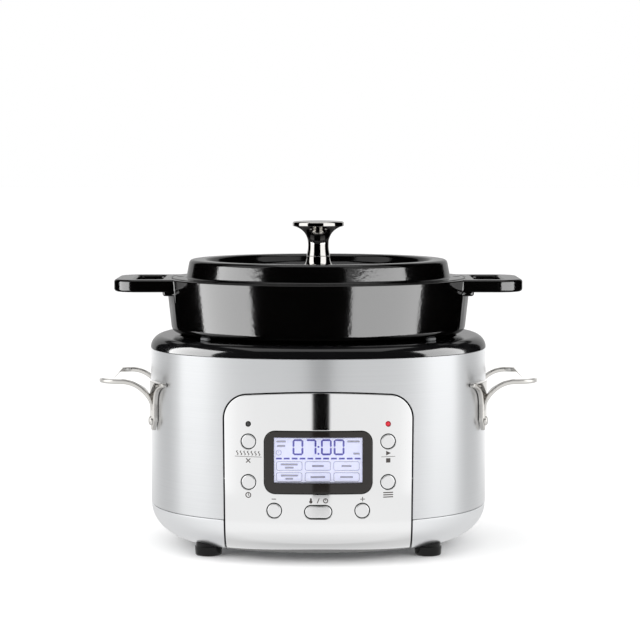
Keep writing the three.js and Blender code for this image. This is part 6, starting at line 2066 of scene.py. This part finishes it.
@dataclass
class Studio:
    """Floor, soft light and the camera at the photograph's viewing angle."""

    elevation: float = 4.2
    distance: float = 2.06
    frame_width: float = 0.576
    aim: Triple = (0.0015, 0.0, 0.1986)
    fill: float = 1.12
    floor_tone: float = 0.96
    shade_tone: float = 0.2
    shade_radius: float = 0.118
    ceiling_z: float = 1.9
    ceiling_level: float = 1.3
    tent_radius: float = 1.3
    tent_low: float = -1.0
    tent_top: float = 2.2
    crown_z: float = 1.2
    crown_level: float = 0.5
    table_line: float = -0.1135
    gap_shift: float = 0.021
    tent_columns: int = 96
    reach_softness: float = 0.08
    reach_least: float = 0.15
    table_softness: float = 0.006
    crown_softness: float = 0.35
    softbox_size: Pair = (1.3, 1.3)
    ceiling_size: Pair = (1.6, 1.6)
    sensor_width: float = 36.0

    def build_world(self) -> None:
        """Lights the scene softly from everywhere, before a white background."""
        world = bpy.data.worlds.new("studio")
        world.use_nodes = True
        tree = Tree(world.node_tree)
        path = tree.node("ShaderNodeLightPath").outputs
        seen = tree.maths("MAXIMUM", path["Is Camera Ray"], path["Is Glossy Ray"])
        seen = tree.maths("MAXIMUM", seen, path["Is Transmission Ray"])
        back = world.node_tree.nodes["Background"]
        strength = tree.node("ShaderNodeMapRange", {"Value": seen, "To Min": self.fill, "To Max": 1.0})
        tree.feed(back.inputs["Color"], (1, 1, 1, 1))
        tree.feed(back.inputs["Strength"], strength.outputs[0])
        bpy.context.scene.world = world

    def sheet(
        self,
        name: str,
        material: bpy.types.Material,
        points: Sequence[Triple],
        faces: Sequence[tuple[int, ...]],
        hidden_from: Sequence[str],
    ) -> bpy.types.Object:
        """Stands a thin sheet in the studio.

        Args:
            name: Its name.
            material: Its material.
            points: Its points, in metres.
            faces: The point numbers of each face.
            hidden_from: The kinds of ray that don't see it.

        Returns:
            The sheet.
        """
        mesh = bpy.data.meshes.new(name)
        mesh.from_pydata(points, [], faces)
        mesh.materials.append(material)
        sheet = add_object(name, mesh)
        for ray in hidden_from:
            setattr(sheet, f"visible_{ray}", False)
        return sheet

    def build_floor(self) -> None:
        """Lays a pale floor that keeps the object's shadow, and a dark disc for reflections."""
        corners = [(-20, -20), (20, -20), (20, 20), (-20, 20)]
        edge = circle(self.shade_radius, steps=96)
        for name, tone, outline, hidden_from in (
            ("floor", self.floor_tone, corners, ("glossy",)),
            ("reflected_shade", self.shade_tone, edge, REFLECTIONS_ONLY),
        ):
            material, shader = blank_material(name)
            shader.inputs["Base Color"].default_value = (tone, tone, tone, 1)
            shader.inputs["Roughness"].default_value = 0.9
            points = [(x, y, 0.0) for x, y in outline]
            self.sheet(name, material, points, [tuple(range(len(outline)))], hidden_from)

    def softbox(
        self, name: str, place: Sequence[float], size: Pair, level: float, aim: Sequence[float] = (0, 0, 0.15)
    ) -> bpy.types.Object:
        """Hangs a soft rectangular light.

        Args:
            name: Its name.
            place: Where it hangs.
            size: Its width and height.
            level: How bright its face is, where 1 is white.
            aim: What it points at.

        Returns:
            The light.
        """
        data = bpy.data.lights.new(name, "AREA")
        data.shape = "RECTANGLE"
        data.size, data.size_y = size
        data.energy = level * math.pi * size[0] * size[1]
        light = add_object(name, data)
        light.location = place
        light.rotation_euler = (Vector(aim) - Vector(place)).to_track_quat("-Z", "Y").to_euler()
        light.visible_camera = False
        return light

    def build_tent(self) -> bpy.types.Object:
        """Stands a light tent round the object that only reflections see, with a dark gap in front."""
        low, top, columns = self.tent_low, self.tent_top, self.tent_columns
        ring = circle(self.tent_radius, steps=columns)
        points = [(x, y, z) for z in (low, top) for x, y in ring] + [(0.0, 0.0, low), (0.0, 0.0, top)]
        faces: list[tuple[int, ...]] = []
        for i in range(columns):
            j = (i + 1) % columns
            faces += [(i, j, columns + j, columns + i), (columns + i, columns + j, 2 * columns + 1)]
            faces.append((j, i, 2 * columns))
        return self.sheet("light_tent", self.tent_cloth(), points, faces, REFLECTIONS_ONLY)

    def ramp(self, tree: Tree, factor: bpy.types.NodeSocket, stops: Sequence[Pair]) -> bpy.types.NodeSocket:
        """Adds a value that follows a table of stops.

        Args:
            tree: The nodes that it is added to.
            factor: The place in the table, from 0 to 1.
            stops: Each stop's place and value, which is 2 or less.

        Returns:
            The value.
        """
        node = tree.node("ShaderNodeValToRGB", {"Fac": factor})
        stop = node.color_ramp.elements
        for k, (position, value) in enumerate(stops):
            element = stop[k] if k < 2 else stop.new(position)
            element.position = position
            element.color = (value / 2, value / 2, value / 2, 1)
        return tree.maths("MULTIPLY", node.outputs["Color"], 2.0)

    def above(
        self, tree: Tree, a: object, b: object, softness: float, least: float = 0.0
    ) -> bpy.types.NodeSocket:
        """Adds a soft step that is 1 where one value is above another.

        Args:
            tree: The nodes that it is added to.
            a: The value.
            b: What it is held against.
            softness: How far on each side the step runs.
            least: What it gives below.

        Returns:
            The step.
        """
        gap = tree.maths("SUBTRACT", a, b)
        sockets = {"Value": gap, "From Min": -softness, "From Max": softness, "To Min": least}
        return tree.node("ShaderNodeMapRange", sockets, interpolation_type="SMOOTHSTEP").outputs[0]

    def tent_cloth(self) -> bpy.types.Material:
        """Builds the tent's cloth, whose light changes round it and with height."""
        material, shader = blank_material("tent_cloth")
        tree = Tree(material.node_tree)
        maths = tree.maths
        spot = tree.node("ShaderNodeTexCoord").outputs["Object"]
        x, y, z = tree.node("ShaderNodeSeparateXYZ", {0: spot}).outputs
        across = maths("ABSOLUTE", maths("SUBTRACT", x, self.gap_shift))
        turn = maths("DIVIDE", maths("ARCTAN2", across, maths("MULTIPLY", y, -1.0)), math.pi)
        tables = (TENT_LIGHT, TENT_REACH, TABLE_TURN)
        around, reach, beside = (self.ramp(tree, turn, [(d / 180, value) for d, value in t]) for t in tables)
        over = self.above(tree, z, self.table_line, self.table_softness)
        wall = maths("MULTIPLY", around, self.above(tree, reach, z, self.reach_softness, self.reach_least))
        wall = maths("MULTIPLY", wall, over)
        away = tree.node("ShaderNodeVectorMath", {0: spot}, operation="LENGTH").outputs["Value"]
        down = maths("DIVIDE", maths("MULTIPLY", z, -1.0), away)
        table = maths("MULTIPLY", self.ramp(tree, down, TABLE_LIGHT), beside)
        table = maths("MULTIPLY", maths("SUBTRACT", 1.0, over), table)
        crown = maths("MULTIPLY", self.above(tree, z, self.crown_z, self.crown_softness), around)
        crown = maths("MULTIPLY", crown, self.crown_level)
        for socket, value in {
            "Base Color": (0, 0, 0, 1),
            "Specular IOR Level": 0.0,
            "Emission Color": (1, 1, 1, 1),
            "Emission Strength": maths("ADD", maths("ADD", wall, table), crown),
        }.items():
            tree.feed(shader.inputs[socket], value)
        return material

    def build_camera(self) -> None:
        """Sets the camera at the photograph's viewing angle."""
        data = bpy.data.cameras.new("camera")
        data.sensor_width = self.sensor_width
        data.lens = self.sensor_width * self.distance / self.frame_width
        data.clip_end = 100.0
        camera = add_object("camera", data)
        rise = math.radians(self.elevation)
        back = Vector((0, -math.cos(rise), math.sin(rise)))
        camera.location = Vector(self.aim) + back * self.distance
        camera.rotation_mode = "QUATERNION"
        camera.rotation_quaternion = (-back).to_track_quat("-Z", "Y")
        bpy.context.scene.camera = camera

    def build(self, glossy: dict[str, Sequence[bpy.types.Object]]) -> None:
        """Builds the studio.

        Args:
            glossy: The pieces of each kind in WINDOWS, which reflect its windows and not the tent.
        """
        bpy.context.scene.view_settings.view_transform = "Standard"
        self.build_world()
        self.build_floor()
        for name, place, level in (
            ("left_softbox", (-1.25, -0.25, 0.85), 1.2),
            ("right_softbox", (1.25, -0.25, 0.75), 0.7),
            ("top_softbox", (-0.3, -0.3, 1.9), 1.0),
        ):
            self.softbox(name, place, self.softbox_size, level).visible_glossy = False
        kept = bpy.data.collections.new("kept_from_tent")
        for name, pieces in glossy.items():
            linked = bpy.data.collections.new(name)
            for piece in pieces:
                linked.objects.link(piece)
                kept.objects.link(piece)
            self.build_windows(name, linked)
        for entry in kept.collection_objects:
            entry.light_linking.link_state = "EXCLUDE"
        self.build_tent().light_linking.receiver_collection = kept
        self.build_camera()

    def build_windows(self, name: str, linked: bpy.types.Collection) -> None:
        """Hangs the windows of light that one kind of piece reflects.

        Args:
            name: The kind, which is a key of WINDOWS.
            linked: The pieces that the windows light.
        """
        made = []
        for window in WINDOWS[name]:
            half = math.radians(window.end - window.start) / 2
            turn = math.radians(window.start + window.end) / 2
            away, middle = window.reach * math.cos(half), (window.low + window.top) / 2
            place = (away * math.sin(turn), -away * math.cos(turn), middle)
            size = (2 * window.reach * math.sin(half), window.top - window.low)
            made.append(self.softbox(f"{name}_window", place, size, window.level, (0, 0, middle)))
        place = (0, 0, self.ceiling_z)
        made.append(self.softbox(f"{name}_ceiling", place, self.ceiling_size, self.ceiling_level))
        for light in made:
            light.light_linking.receiver_collection = linked
            light.visible_diffuse = False


def main() -> None:
    """Builds the object's looks on the frame, then the studio."""
    logging.basicConfig(level=logging.INFO, format="%(message)s")
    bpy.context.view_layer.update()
    workshop = Workshop()
    casing = Casing()
    controls = Controls(casing)
    PoweredBase(casing).build(workshop, controls.holes())
    controls.build(workshop)
    SideHandle(casing).build(workshop)
    Heater().build(workshop)
    pot = CastPot().build(workshop)
    lid = Lid().build(workshop)
    made = bpy.data.objects
    chrome = [made["polished_knob"], made["flared_collar"]]
    Studio().build({"enamel": [pot, lid], "lacquer": [made["glossy_rim"]], "chrome": chrome})
    LOG.info("%d pieces made", workshop.count)


if __name__ == "__main__":
    main()
